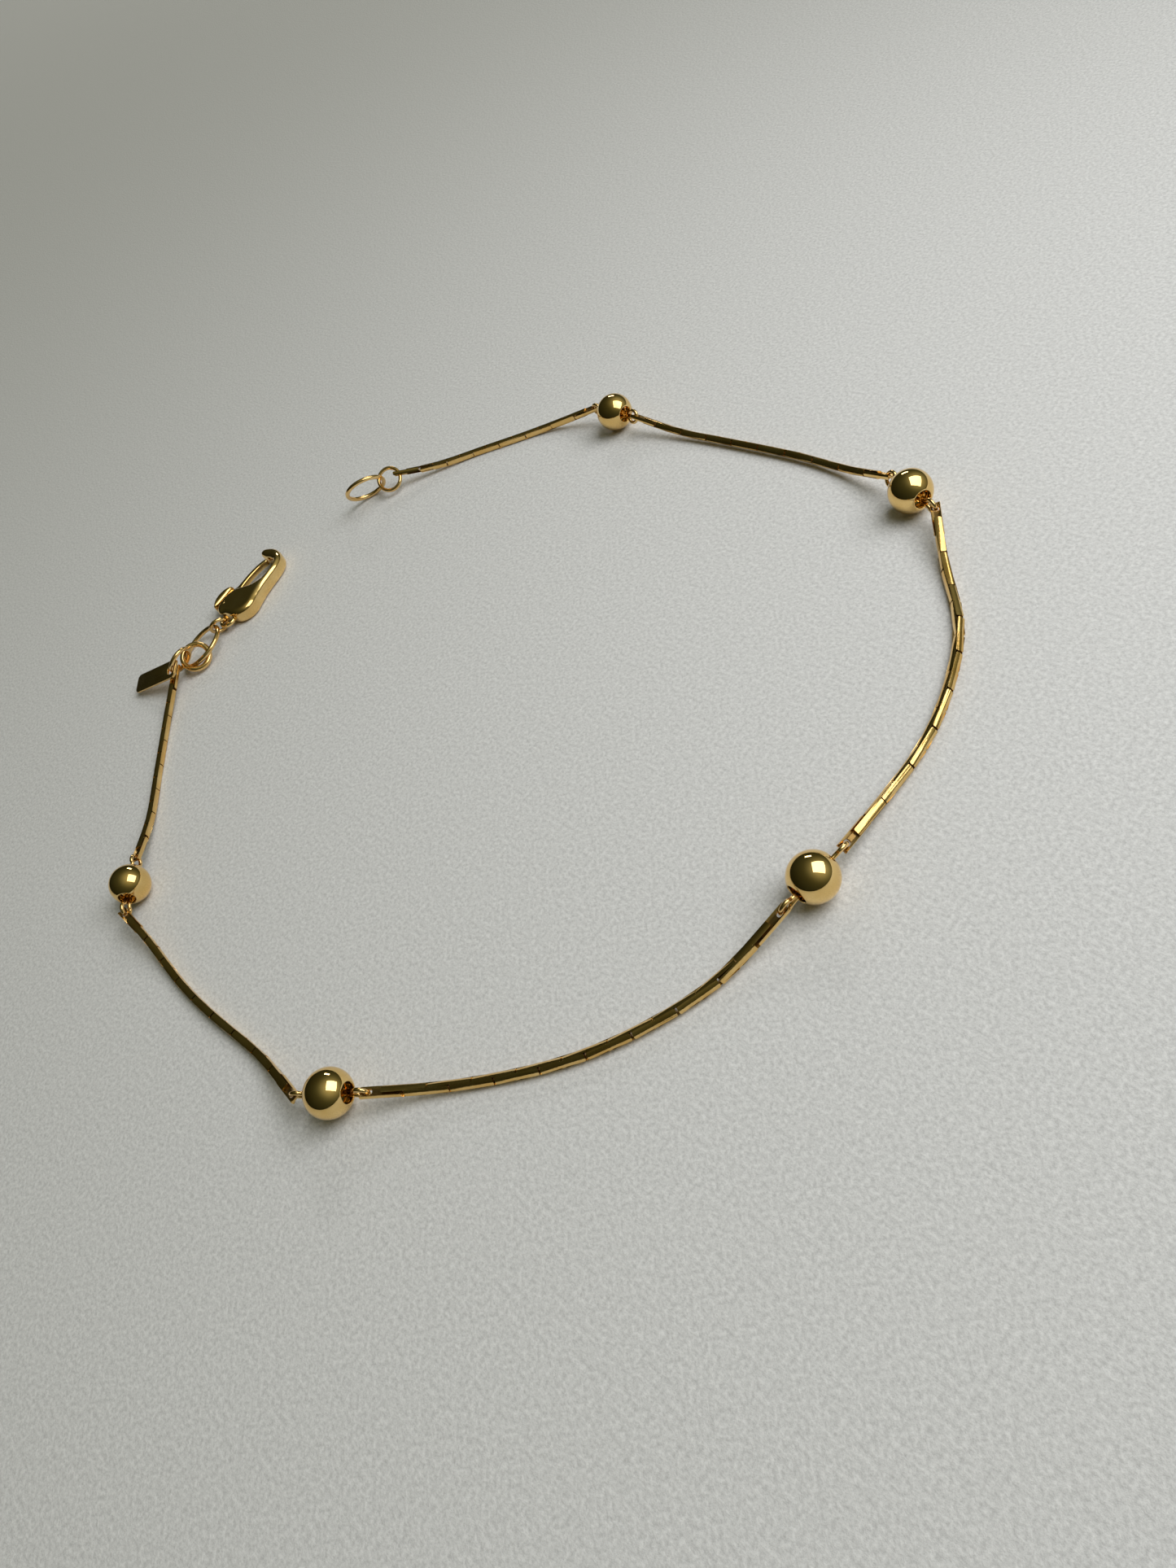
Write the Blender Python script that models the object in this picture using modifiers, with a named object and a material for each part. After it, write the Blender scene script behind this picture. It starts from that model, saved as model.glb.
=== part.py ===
"""A gold station bracelet: six lengths of fine square cable chain between five hollow beads.

It lies open on a table, as it is taken off the wrist. One end carries a lobster clasp on four
jump rings, with a small bare tag. The other end carries two jump rings.
Units are metres, +Z is up, and the origin is under the middle of the bracelet.
"""
import math

import bpy
import bmesh
import numpy as np
from mathutils import Matrix, Vector

MM = 0.001
WELD = 0.000005

# Beads: hollow balls strung on a wire connector with an eye at each end
BEAD_RADIUS = 1.5 * MM
BEAD_WALL = 0.3 * MM
BORE_RADIUS = 0.62 * MM
BEAD_SIDES = 16
OUTER_STEPS = 8
INNER_STEPS = 5

# Connectors: one closed loop of wire through a bead
CONNECTOR_WIRE = 0.14 * MM
CONNECTOR_HEIGHT = 1.4 * MM
NECK_HALF_GAP = 0.2 * MM
NECK_END = 1.1 * MM
NECK_STEPS = 5
EYE_CENTRE = 2.15 * MM
EYE_RADIUS = 0.48 * MM
EYE_POINTS = 9
EYE_OPENING = math.radians(70)

# Chain: a cable chain filed square, whose neighbouring links stand at right angles
SECTION_HALF = 0.28 * MM
END_HALF = 0.34 * MM
END_PLATE = 0.17 * MM
PLATE_HALF = 0.24 * MM
VALLEY_HALF = 0.13 * MM
CORE_HALF = 0.09 * MM
END_CORE = 0.07 * MM
SLOT_HALF = 0.12 * MM
LINK_LENGTH = 2.46 * MM
END_BAR = 0.66 * MM
EYE_BAR = 0.25 * MM
BAR_GAP = 0.05 * MM
SLOT_PLAY = 0.05 * MM
SLOT_HEIGHT = 0.4 * MM
PATH_STEPS = 40
LEAD = 1.2 * MM
FRAME_REACH = 1.0 * MM
FLOOR_PLAY = 0.01 * MM
INNER_LINKS = 19
END_LINKS = 15

# Clasp, in its own frame: x runs from the tail eye to the nose, y towards the lever
CLASP_PLACE = (30.53 * MM, 5.21 * MM)
CLASP_TURN = math.radians(-78.9)
CLASP_THICK = 1.5 * MM
CLASP_ROUND = 0.28 * MM
TAIL_RADIUS = 0.66 * MM
TAIL_WIRE = 0.2 * MM
PIVOT = (1.3 * MM, 1.5 * MM)
PIN_RADIUS = 0.25 * MM
PIN_PLAY = 0.04 * MM
LEVER_THICK = 0.6 * MM
LEVER_SLOT = 0.72 * MM
LEVER_ROUND = 0.06 * MM
THUMB_THICK = 1.3 * MM
THUMB_ROUND = 0.2 * MM
HOLE_SIDES = 12
PIN_SIDES = 12

# Wire rings and the tag
RING_SIDES = 20
WIRE_SIDES = 6
TAG_THICK = 0.22 * MM
TAG_LENGTH = 6.1 * MM
TAG_WIDTH = 1.8 * MM
TAG_CORNER = 0.45 * MM
TAG_HOLE = 0.5 * MM
TAG_HOLE_INSET = 0.66 * MM
TAG_CLOCK = 5
TAG_HEADING = 31
TAG_SLOPE = 13.5
TAG_ROLL = -16

# Bead centres, the heading of the bore from the clasp end to the ring end, and the roll of
# the connector's back and front eyes about their outward directions
BEADS = [
    # name, x mm, y mm, heading deg, back roll deg, front roll deg
    ("bead_1", 11.67, 26.65, 140, 0, -5),
    ("bead_2", -16.81, 26.36, 216, -10, 0),
    ("bead_3", -32.83, 0.91, 264, -10, 30),
    ("bead_4", -20.88, -26.33, 340, 0, 30),
    ("bead_5", 9.13, -27.62, 1, -30, 0),
]

# Chain routes between the eyes: x, y and z in mm, and the roll of the square section in degrees
ROUTES = {
    "chain_1": [
        # x, y, z, roll
        (16.7, 22.7, 0.70, 0),
        (20.3, 20.3, 0.31, 0),
        (23.7, 17.7, 0.30, 0),
        (26.0, 15.8, 0.40, 0),
    ],
    "chain_2": [
        (6.4, 28.4, 0.81, 0),
        (2.5, 28.7, 0.31, 0),
        (-1.5, 28.7, 0.30, 0),
        (-5.4, 28.4, 0.30, 0),
        (-9.4, 28.0, 0.36, 0),
    ],
    "chain_3": [
        (-21.6, 22.3, 0.62, -35),
        (-24.8, 19.2, 0.38, -35),
        (-27.7, 15.9, 0.38, -35),
        (-30.0, 12.1, 0.38, -35),
        (-31.6, 8.0, 0.45, -30),
    ],
    "chain_4": [
        (-32.8, -5.3, 0.65, 54),
        (-32.5, -10.0, 0.38, 54),
        (-31.3, -14.4, 0.38, 54),
        (-29.4, -18.2, 0.37, 40),
        (-26.3, -21.7, 0.48, 25),
    ],
    "chain_5": [
        (-14.5, -27.8, 0.61, 45),
        (-10.3, -28.2, 0.41, 45),
        (-6.0, -28.2, 0.40, 45),
        (-1.8, -28.1, 0.40, 45),
        (2.4, -27.9, 0.58, 45),
    ],
    "chain_6": [
        (16.2, -25.4, 0.42, 0),
        (19.1, -23.0, 0.30, 0),
        (22.0, -20.5, 0.30, 0),
        (24.4, -17.9, 0.55, 0),
    ],
}

# Jump rings: centre in mm, normal, middle radius and wire radius in mm
RINGS = [
    # name, x, y, z, nx, ny, nz, radius, wire
    ("clasp_ring", 30.60, 6.12, 0.98, -0.88, 0.27, -0.40, 0.78, 0.17),
    ("large_ring", 30.49, 8.56, 0.77, 0.18, 0.18, 0.97, 2.16, 0.21),
    ("jump_ring_2", 29.38, 9.66, 1.06, -0.52, 0.04, 0.85, 1.18, 0.25),
    ("jump_ring_1", 29.47, 10.85, 1.82, 0.82, 0.15, 0.55, 1.16, 0.19),
    ("end_ring_1", 27.59, -14.28, 1.21, -0.48, 0.32, 0.82, 1.06, 0.17),
    ("end_ring_2", 28.65, -12.21, 1.65, 0.68, -0.39, 0.61, 1.81, 0.20),
]

# Where each end chain hangs on its ring: the ring and the clock angle of its wire
RING_ENDS = {
    "chain_1": ("jump_ring_1", -38),
    "chain_6": ("end_ring_1", 5),
}

# Clasp outlines in mm, in the clasp's frame
BODY_OUTLINE = [
    # x, y
    (0.35, -0.5), (0.55, -1.25), (1.2, -1.85), (2.1, -2.0), (3.0, -1.75), (4.2, -1.45),
    (5.5, -1.3), (6.7, -1.15), (7.7, -0.7), (8.3, 0.1), (8.5, 1.1), (8.2, 2.1), (7.6, 2.2),
    (7.42, 1.6), (7.4, 0.9), (7.28, 0.3), (7.1, -0.15), (6.6, -0.5), (5.8, -0.62),
    (4.8, -0.5), (4.1, 0.0), (3.7, 0.7), (3.3, 1.4), (2.7, 1.9), (1.9, 2.1), (1.1, 2.05),
    (0.5, 1.7), (0.2, 1.1), (0.35, 0.5),
]
LEVER_OUTLINE = [
    # x, y
    (0.75, 1.5), (0.85, 1.05), (1.3, 0.9), (1.9, 1.0), (2.8, 1.3), (4.0, 1.55), (5.2, 1.6),
    (6.3, 1.45), (7.15, 1.15), (7.25, 1.5), (6.5, 1.85), (5.3, 2.05), (4.1, 2.05),
    (3.45, 2.15), (3.0, 2.75), (2.2, 3.05), (1.5, 2.75), (1.0, 2.1),
]
THUMB_OUTLINE = [
    # x, y
    (0.9, 2.4), (3.2, 2.4), (3.25, 2.7), (2.85, 3.05), (2.2, 3.2), (1.5, 3.1), (0.95, 2.75),
]
SLOT_OUTLINE = [
    # x, y
    (-0.2, 0.25), (1.3, 0.5), (2.6, 0.72), (4.6, 0.72), (4.6, 3.6), (-0.2, 3.6),
]


def clear_scene():
    """Remove what the file opens with."""
    for thing in list(bpy.data.objects):
        bpy.data.objects.remove(thing, do_unlink=True)


def collection(name):
    group = bpy.data.collections.new(name)
    bpy.context.scene.collection.children.link(group)
    return group


def gold(name, colour, roughness):
    """A plain polished gold for one kind of piece."""
    material = bpy.data.materials.new(name)
    material.use_nodes = True
    shader = material.node_tree.nodes["Principled BSDF"]
    shader.inputs["Base Color"].default_value = (*colour, 1.0)
    shader.inputs["Metallic"].default_value = 1.0
    shader.inputs["Roughness"].default_value = roughness
    return material


def add_mesh(name, mesh, group, material, matrix=None):
    """Put a mesh in the scene as one named object."""
    thing = bpy.data.objects.new(name, mesh)
    group.objects.link(thing)
    if matrix is not None:
        thing.matrix_world = matrix
    mesh.materials.clear()
    mesh.materials.append(material)
    return thing


def curve_to_mesh(name, curve, group, material, matrix=None):
    """Turn a curve into a closed mesh object and remove the curve."""
    source = bpy.data.objects.new(name + "_curve", curve)
    group.objects.link(source)
    bpy.context.view_layer.update()
    graph = bpy.context.evaluated_depsgraph_get()
    mesh = bpy.data.meshes.new_from_object(source.evaluated_get(graph))
    bpy.data.objects.remove(source, do_unlink=True)
    work = bmesh.new()
    work.from_mesh(mesh)
    bmesh.ops.remove_doubles(work, verts=work.verts, dist=WELD)
    bmesh.ops.recalc_face_normals(work, faces=work.faces)
    work.to_mesh(mesh)
    work.free()
    return add_mesh(name, mesh, group, material, matrix)


def wire_loop(name, points, wire, group, material, matrix=None):
    """A closed loop of round wire through the points."""
    curve = bpy.data.curves.new(name, "CURVE")
    curve.dimensions = "3D"
    curve.bevel_depth = wire
    curve.bevel_resolution = 1
    curve.twist_mode = "MINIMUM"
    line = curve.splines.new("POLY")
    line.points.add(len(points) - 1)
    for place, point in zip(line.points, points):
        place.co = (*point, 1.0)
    line.use_cyclic_u = True
    thing = curve_to_mesh(name, curve, group, material, matrix)
    smooth(thing)
    return thing


def smooth(thing, angle=40):
    thing.data.shade_smooth()
    thing.data.set_sharp_from_angle(angle=math.radians(angle))


def flat_piece(name, outline, thick, group, material, matrix=None):
    """A flat piece cut from an outline given in mm, centred on its own z = 0."""
    curve = bpy.data.curves.new(name, "CURVE")
    curve.dimensions = "2D"
    curve.fill_mode = "BOTH"
    curve.extrude = thick / 2
    line = curve.splines.new("POLY")
    line.points.add(len(outline) - 1)
    for place, (x, y) in zip(line.points, outline):
        place.co = (x * MM, y * MM, 0.0, 1.0)
    line.use_cyclic_u = True
    return curve_to_mesh(name, curve, group, material, matrix)


def apply_modifier(thing, kind, **settings):
    """Add a modifier, set it and apply it to the object's mesh."""
    modifier = thing.modifiers.new(kind.title(), kind)
    for key, value in settings.items():
        setattr(modifier, key, value)
    bpy.context.view_layer.update()
    graph = bpy.context.evaluated_depsgraph_get()
    mesh = bpy.data.meshes.new_from_object(thing.evaluated_get(graph))
    thing.modifiers.clear()
    thing.data = mesh


def cylinder(name, radius, depth, sides, group, material):
    """A cylinder about its own z axis."""
    mesh = bpy.data.meshes.new(name)
    work = bmesh.new()
    bmesh.ops.create_cone(work, cap_ends=True, segments=sides, radius1=radius,
                          radius2=radius, depth=depth)
    work.to_mesh(mesh)
    work.free()
    return add_mesh(name, mesh, group, material)


def box(name, low, high, group, material):
    """A box between two corners."""
    low = Vector(low)
    high = Vector(high)
    mesh = bpy.data.meshes.new(name)
    work = bmesh.new()
    bmesh.ops.create_cube(work, size=1.0)
    bmesh.ops.scale(work, verts=work.verts, vec=high - low)
    bmesh.ops.translate(work, verts=work.verts, vec=(low + high) / 2)
    work.to_mesh(mesh)
    work.free()
    return add_mesh(name, mesh, group, material)


def cut(thing, tool, operation="DIFFERENCE"):
    """Cut one object with another, or join the two, and remove the tool."""
    tool.hide_render = True
    tool.display_type = "WIRE"
    apply_modifier(thing, "BOOLEAN", operation=operation, object=tool, solver="EXACT")
    bpy.data.objects.remove(tool, do_unlink=True)


def natural_cubic(knots, values, wanted):
    """A smooth curve through the values at the knots, with free ends."""
    count = len(knots)
    gaps = np.diff(knots)
    system = np.eye(count)
    slopes = np.zeros((count, values.shape[1]))
    for i in range(1, count - 1):
        system[i, i - 1:i + 2] = (gaps[i - 1], 2 * (gaps[i - 1] + gaps[i]), gaps[i])
        slopes[i] = 6 * ((values[i + 1] - values[i]) / gaps[i]
                         - (values[i] - values[i - 1]) / gaps[i - 1])
    bends = np.linalg.solve(system, slopes)
    spans = np.clip(np.searchsorted(knots, wanted, side="right") - 1, 0, count - 2)
    gap = gaps[spans][:, None]
    after = (wanted - knots[spans])[:, None]
    before = gap - after
    return (bends[spans] * before ** 3 / (6 * gap) + bends[spans + 1] * after ** 3 / (6 * gap)
            + (values[spans] / gap - bends[spans] * gap / 6) * before
            + (values[spans + 1] / gap - bends[spans + 1] * gap / 6) * after)


class Path:
    """A route through points (x, y, z, roll) that can be read at any distance along it."""

    def __init__(self, rows):
        rows = np.array(rows, dtype=float)
        steps = np.linalg.norm(np.diff(rows[:, :3], axis=0), axis=1)
        knots = np.concatenate([[0.0], np.cumsum(steps)])
        fine = np.linspace(0.0, knots[-1], PATH_STEPS * (len(rows) - 1) + 1)
        self.points = natural_cubic(knots, rows[:, :3], fine)
        self.rolls = np.interp(fine, knots, rows[:, 3])
        turn = np.radians(np.abs(self.rolls))
        lowest = SECTION_HALF * np.cos(turn) + PLATE_HALF * np.sin(turn) + FLOOR_PLAY
        self.points[:, 2] = np.maximum(self.points[:, 2], lowest)
        runs = np.linalg.norm(np.diff(self.points, axis=0), axis=1)
        self.along = np.concatenate([[0.0], np.cumsum(runs)])
        self.length = self.along[-1]

    def point(self, distance):
        return Vector([np.interp(distance, self.along, self.points[:, k]) for k in range(3)])

    def frame(self, distance):
        """The middle of a link, and its forward, side and up directions, at a distance."""
        near = self.point(distance - FRAME_REACH)
        far = self.point(distance + FRAME_REACH)
        forward = (far - near).normalized()
        level = Vector((0, 0, 1)).cross(forward).normalized()
        roll = math.radians(np.interp(distance, self.along, self.rolls))
        side = Matrix.Rotation(roll, 3, forward) @ level
        return (near + far) / 2, forward, side, forward.cross(side)


def placed(place, forward, side, up):
    """A matrix whose x, y and z axes are forward, side and up."""
    turn = Matrix((forward, side, up)).transposed().to_4x4()
    return Matrix.Translation(place) @ turn


def link(group, cutters, material, half_width, half_plate, half_core, slot, slot_half):
    """One filed link along x, as a bare mesh: two plates on the y faces and a bar at each end.

    The section is a bow tie, wide at the plates and thin in the middle, so that the next
    link's plates fit between its own. slot holds the start and end of the opening.
    """
    wide = half_width / MM
    plate = half_plate / MM
    valley = VALLEY_HALF / MM
    core = half_core / MM
    section = [(-wide, -plate), (-valley, -core), (valley, -core), (wide, -plate),
               (wide, plate), (valley, core), (-valley, core), (-wide, plate)]
    along_x = Matrix.Rotation(math.pi / 2, 4, "Z") @ Matrix.Rotation(math.pi / 2, 4, "X")
    blank = flat_piece("link_blank", section, LINK_LENGTH, group, material)
    blank.data.transform(along_x)
    cutter = box("link_slot", (slot[0], -slot_half, -SLOT_HEIGHT), (slot[1], slot_half, SLOT_HEIGHT),
                 cutters, material)
    cut(blank, cutter)
    mesh = blank.data
    bpy.data.objects.remove(blank, do_unlink=True)
    return mesh


def chain(name, path, start, end, count, eyes, group, cutters, material):
    """A length of chain along a path, its links crossing at right angles and fused in one body.

    The first and last links have a wide, short slot and a thin end bar, for the wire of an eye
    or a ring. eyes holds the two wires' radii and how far each lies from the chain's end.
    """
    half = LINK_LENGTH / 2
    pitch = (end - start - LINK_LENGTH) / (count - 1)
    plain = link(group, cutters, material, SECTION_HALF, PLATE_HALF, CORE_HALF,
                 (-half + END_BAR, half - END_BAR), SLOT_HALF)
    ends = [link(group, cutters, material, END_HALF, END_PLATE, END_CORE,
                 (-half + EYE_BAR, -half - EYE_BAR + 2 * reach + SLOT_PLAY), wire + SLOT_PLAY)
            for wire, reach in eyes]
    bodies = [bmesh.new(), bmesh.new()]
    for i in range(count):
        place, forward, side, up = path.frame(start + half + i * pitch)
        mesh = plain
        if i % 2:
            side, up = up, -side
        if i == 0:
            mesh = ends[0]
        if i == count - 1:
            mesh = ends[1]
            forward, side = -forward, -side
        copy = mesh.copy()
        copy.transform(placed(place, forward, side, up))
        bodies[i % 2].from_mesh(copy)
        bpy.data.meshes.remove(copy)
    things = []
    for suffix, body in zip(("", "_crossing"), bodies):
        joined = bpy.data.meshes.new(name + suffix)
        body.to_mesh(joined)
        body.free()
        things.append(add_mesh(name + suffix, joined, group, material))
    cut(things[0], things[1], "UNION")
    return things[0]


def bead(row, group, material):
    """A hollow ball with a bore, turned about its bore axis."""
    name, x, y, heading = row[:4]
    inner_radius = BEAD_RADIUS - BEAD_WALL
    outer_start = math.asin(BORE_RADIUS / BEAD_RADIUS)
    inner_start = math.asin(BORE_RADIUS / inner_radius)
    profile = []
    for k in range(OUTER_STEPS + 1):
        angle = outer_start + (math.pi - 2 * outer_start) * k / OUTER_STEPS
        profile.append((BEAD_RADIUS * math.sin(angle), BEAD_RADIUS * math.cos(angle)))
    for k in range(INNER_STEPS + 1):
        angle = math.pi - inner_start - (math.pi - 2 * inner_start) * k / INNER_STEPS
        profile.append((inner_radius * math.sin(angle), inner_radius * math.cos(angle)))
    mesh = bpy.data.meshes.new(name)
    work = bmesh.new()
    verts = [work.verts.new((x, 0.0, z)) for x, z in profile]
    for a, b in zip(verts, verts[1:] + verts[:1]):
        work.edges.new((a, b))
    work.to_mesh(mesh)
    work.free()
    turn = Matrix.Rotation(math.radians(heading), 4, "Z") @ Matrix.Rotation(math.pi / 2, 4, "Y")
    place = Matrix.Translation((x * MM, y * MM, BEAD_RADIUS))
    thing = add_mesh(name, mesh, group, material, place @ turn)
    screw = thing.modifiers.new("Screw", "SCREW")
    screw.steps = BEAD_SIDES
    screw.render_steps = BEAD_SIDES
    screw.use_merge_vertices = True
    screw.merge_threshold = WELD
    screw.use_smooth_shade = True
    return thing


def connector(name, back, front, group, material):
    """A closed wire loop through a bead, with an eye at each end.

    back and front each hold an eye's centre, its direction away from the bead, and the
    direction across the loop.
    """
    centre = (back[0] + front[0]) / 2
    axis = (front[0] - back[0]).normalized()
    level = Vector((0, 0, 1)).cross(axis).normalized()
    upward = axis.cross(level)
    first = math.atan2(back[2].dot(upward), back[2].dot(level))
    last = math.atan2(front[2].dot(upward), front[2].dot(level))
    last -= math.pi * round((last - first) / math.pi)

    def across(part):
        angle = first + (last - first) * part
        return level * math.cos(angle) + upward * math.sin(angle)

    def eye(end, side):
        swing = math.pi - EYE_OPENING / 2
        turns = [swing * (2 * k / (EYE_POINTS - 1) - 1) for k in range(EYE_POINTS)]
        return [end[0] + EYE_RADIUS * (end[1] * math.cos(turn) + side * math.sin(turn))
                for turn in turns]

    def neck(sign):
        parts = [k / (NECK_STEPS - 1) for k in range(NECK_STEPS)]
        return [centre + axis * NECK_END * (2 * part - 1) + across(part) * NECK_HALF_GAP * sign
                for part in parts]

    loop = neck(-1) + eye(front, across(1.0)) + neck(1)[::-1] + eye(back, across(0.0))[::-1]
    return wire_loop(name, loop, CONNECTOR_WIRE, group, material)


def ring_axes(row):
    """A jump ring's centre, normal, level direction and steep direction."""
    normal = Vector(row[4:7]).normalized()
    level = Vector((0, 0, 1)).cross(normal).normalized()
    return Vector(row[1:4]) * MM, normal, level, normal.cross(level)


def ring_point(row, clock):
    """The middle of a ring's wire, and the wire's direction, at a clock angle."""
    centre, _, level, steep = ring_axes(row)
    angle = math.radians(clock)
    out = level * math.cos(angle) + steep * math.sin(angle)
    along = steep * math.cos(angle) - level * math.sin(angle)
    return centre + out * row[7] * MM, out, along


def jump_ring(row, group, material):
    """A jump ring, with its ends soldered shut."""
    centre, normal, level, steep = ring_axes(row)
    bpy.ops.mesh.primitive_torus_add(major_segments=RING_SIDES, minor_segments=WIRE_SIDES,
                                     major_radius=row[7] * MM, minor_radius=row[8] * MM)
    made = bpy.context.active_object
    mesh = made.data
    bpy.data.objects.remove(made, do_unlink=True)
    mesh.name = row[0]
    thing = add_mesh(row[0], mesh, group, material, placed(centre, level, steep, normal))
    smooth(thing)
    return thing


def tag(rows, group, cutters, material):
    """The small bare tag, hung by its hole on the first jump ring."""
    place, _, along = ring_point(rows["jump_ring_1"], TAG_CLOCK)
    outward = Matrix.Rotation(math.radians(TAG_HEADING), 3, "Z") @ Vector((1, 0, 0))
    outward.z = -math.tan(math.radians(TAG_SLOPE))
    outward.normalize()
    across = Vector((0, 0, 1)).cross(outward).normalized()
    across = Matrix.Rotation(math.radians(TAG_ROLL), 3, outward) @ across
    half = TAG_WIDTH / 2 / MM
    near = -TAG_HOLE_INSET / MM
    far = (TAG_LENGTH - TAG_HOLE_INSET) / MM
    corner = TAG_CORNER / MM
    outline = [(near, -half + corner), (near + corner, -half), (far - corner, -half),
               (far, -half + corner), (far, half - corner), (far - corner, half),
               (near + corner, half), (near, half - corner)]
    thing = flat_piece("tag", outline, TAG_THICK, group, material)
    hole = cylinder("tag_hole", TAG_HOLE, 3 * TAG_THICK, HOLE_SIDES, cutters, material)
    cut(thing, hole)
    thing.matrix_world = placed(place, outward, across, outward.cross(across))
    return thing


def clasp(group, cutters, material, pin_material):
    """The lobster clasp: a cast body with a tail eye, a pin, and a lever that swings inwards."""
    frame = Matrix.Translation((*CLASP_PLACE, CLASP_THICK / 2)) @ Matrix.Rotation(CLASP_TURN, 4, "Z")
    body = flat_piece("clasp_body", BODY_OUTLINE, CLASP_THICK, group, material)
    apply_modifier(body, "BEVEL", width=CLASP_ROUND, segments=2, limit_method="ANGLE",
                   angle_limit=math.radians(60))
    bpy.ops.mesh.primitive_torus_add(major_segments=RING_SIDES, minor_segments=WIRE_SIDES,
                                     major_radius=TAIL_RADIUS, minor_radius=TAIL_WIRE)
    cut(body, bpy.context.active_object, "UNION")
    slot = flat_piece("lever_slot", SLOT_OUTLINE, LEVER_SLOT, cutters, material)
    cut(body, slot)
    hole = cylinder("pin_hole", PIN_RADIUS + PIN_PLAY, 2 * CLASP_THICK, HOLE_SIDES, cutters, material)
    hole.location = (*PIVOT, 0.0)
    cut(body, hole)
    smooth(body)
    body.matrix_world = frame

    pivot = frame @ Matrix.Translation((*PIVOT, 0.0))
    arm, thumb = ([(x - PIVOT[0] / MM, y - PIVOT[1] / MM) for x, y in outline]
                  for outline in (LEVER_OUTLINE, THUMB_OUTLINE))
    lever = flat_piece("clasp_lever", arm, LEVER_THICK, group, material)
    hole = cylinder("lever_hole", PIN_RADIUS + PIN_PLAY, 2 * CLASP_THICK, HOLE_SIDES, cutters, material)
    cut(lever, hole)
    apply_modifier(lever, "BEVEL", width=LEVER_ROUND, segments=1, limit_method="ANGLE",
                   angle_limit=math.radians(60))
    pad = flat_piece("lever_thumb", thumb, THUMB_THICK, cutters, material)
    apply_modifier(pad, "BEVEL", width=THUMB_ROUND, segments=2, limit_method="ANGLE",
                   angle_limit=math.radians(60))
    cut(lever, pad, "UNION")
    smooth(lever)
    lever.matrix_world = pivot
    pin = cylinder("clasp_pin", PIN_RADIUS, CLASP_THICK, PIN_SIDES, group, pin_material)
    pin.matrix_world = pivot


def bead_end(row, sign):
    """The eye at the back (-1) or the front (1) of a bead's connector.

    It gives the eye's centre, its direction away from the bead, and the direction across it.
    """
    _, x, y, heading, back_roll, front_roll = row
    away = Matrix.Rotation(math.radians(heading), 3, "Z") @ Vector((sign, 0, 0))
    roll = math.radians(front_roll if sign > 0 else back_roll)
    across = Matrix.Rotation(roll, 3, away) @ Vector((0, 0, 1))
    return Vector((x * MM, y * MM, CONNECTOR_HEIGHT)) + away * EYE_CENTRE, away, across


def hung_rows(place, along, wire, neighbour):
    """Two path rows from a wire to a little past it, and how far the chain reaches past it.

    The roll there lets the wire, which runs along its own direction, pass through the slot,
    and the end bar clears it.
    """
    forward = (place - neighbour).normalized()
    side = forward.cross(along).normalized()
    level = Vector((0, 0, 1)).cross(forward).normalized()
    roll = math.degrees(math.atan2(side.dot(forward.cross(level)), side.dot(level)))
    roll -= 180 * round(roll / 180)
    lean = abs(along.dot(forward))
    upright = math.sqrt(1 - lean * lean)
    reach = (wire + BAR_GAP) / upright + END_CORE * lean / upright + EYE_BAR
    return [(*place, roll), (*(place + forward * LEAD), roll)], reach


def turned_over(rows):
    """The same rows for a path that runs the other way."""
    return [(*row[:3], -row[3]) for row in rows]


def chain_ends(name, rows):
    """The two wires that a chain hangs on: their middles, directions and radii."""
    number = int(name.split("_")[1])
    centre, away, across = bead_end(BEADS[0], -1) if number == 1 else bead_end(BEADS[number - 2], 1)
    ends = [(centre + away * EYE_RADIUS, across, CONNECTOR_WIRE)]
    if name in RING_ENDS:
        ring_name, clock = RING_ENDS[name]
        place, _, along = ring_point(rows[ring_name], clock)
        ends.append((place, along, rows[ring_name][8] * MM))
    else:
        centre, away, across = bead_end(BEADS[number - 1], -1)
        ends.append((centre + away * EYE_RADIUS, across, CONNECTOR_WIRE))
    return ends


def main():
    clear_scene()
    parts = collection("bracelet")
    cutters = collection("cutters")
    bead_gold = gold("bead_gold", (0.83, 0.62, 0.27), 0.08)
    wire_gold = gold("wire_gold", (0.80, 0.58, 0.25), 0.15)
    chain_gold = gold("chain_gold", (0.78, 0.57, 0.25), 0.12)
    clasp_gold = gold("clasp_gold", (0.82, 0.60, 0.27), 0.15)
    tag_gold = gold("tag_gold", (0.72, 0.55, 0.28), 0.2)
    rows = {row[0]: row for row in RINGS}
    for name, route in ROUTES.items():
        ends = chain_ends(name, rows)
        points = [(*(Vector(row[:3]) * MM), row[3]) for row in route]
        first, before = hung_rows(*ends[0], Vector(points[0][:3]))
        last, behind = hung_rows(*ends[1], Vector(points[-1][:3]))
        path = Path(turned_over(first)[::-1] + points + last)
        count = END_LINKS if name in RING_ENDS else INNER_LINKS
        eyes = [(ends[0][2], before), (ends[1][2], behind)]
        chain(name, path, LEAD - before, path.length - LEAD + behind, count, eyes, parts,
              cutters, chain_gold)
    for i, row in enumerate(BEADS):
        bead(row, parts, bead_gold)
        connector(f"connector_{i + 1}", bead_end(row, -1), bead_end(row, 1), parts, wire_gold)
    for row in RINGS:
        jump_ring(row, parts, wire_gold)
    tag(rows, parts, cutters, tag_gold)
    clasp(parts, cutters, clasp_gold, wire_gold)


main()
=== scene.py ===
# %% [markdown]
# # A gold station bracelet
#
# The bracelet lies open on a pale table, as it is taken off the wrist. Six lengths of fine square
# chain hang between five round hollow beads. One end carries a lobster clasp and a small bare tag,
# and the other end a pair of rings for the clasp to catch.
#
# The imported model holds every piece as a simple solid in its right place. This lesson dresses it:
# each solid gets a finer mesh of the same form, and each finish gets a material made from nodes.

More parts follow.
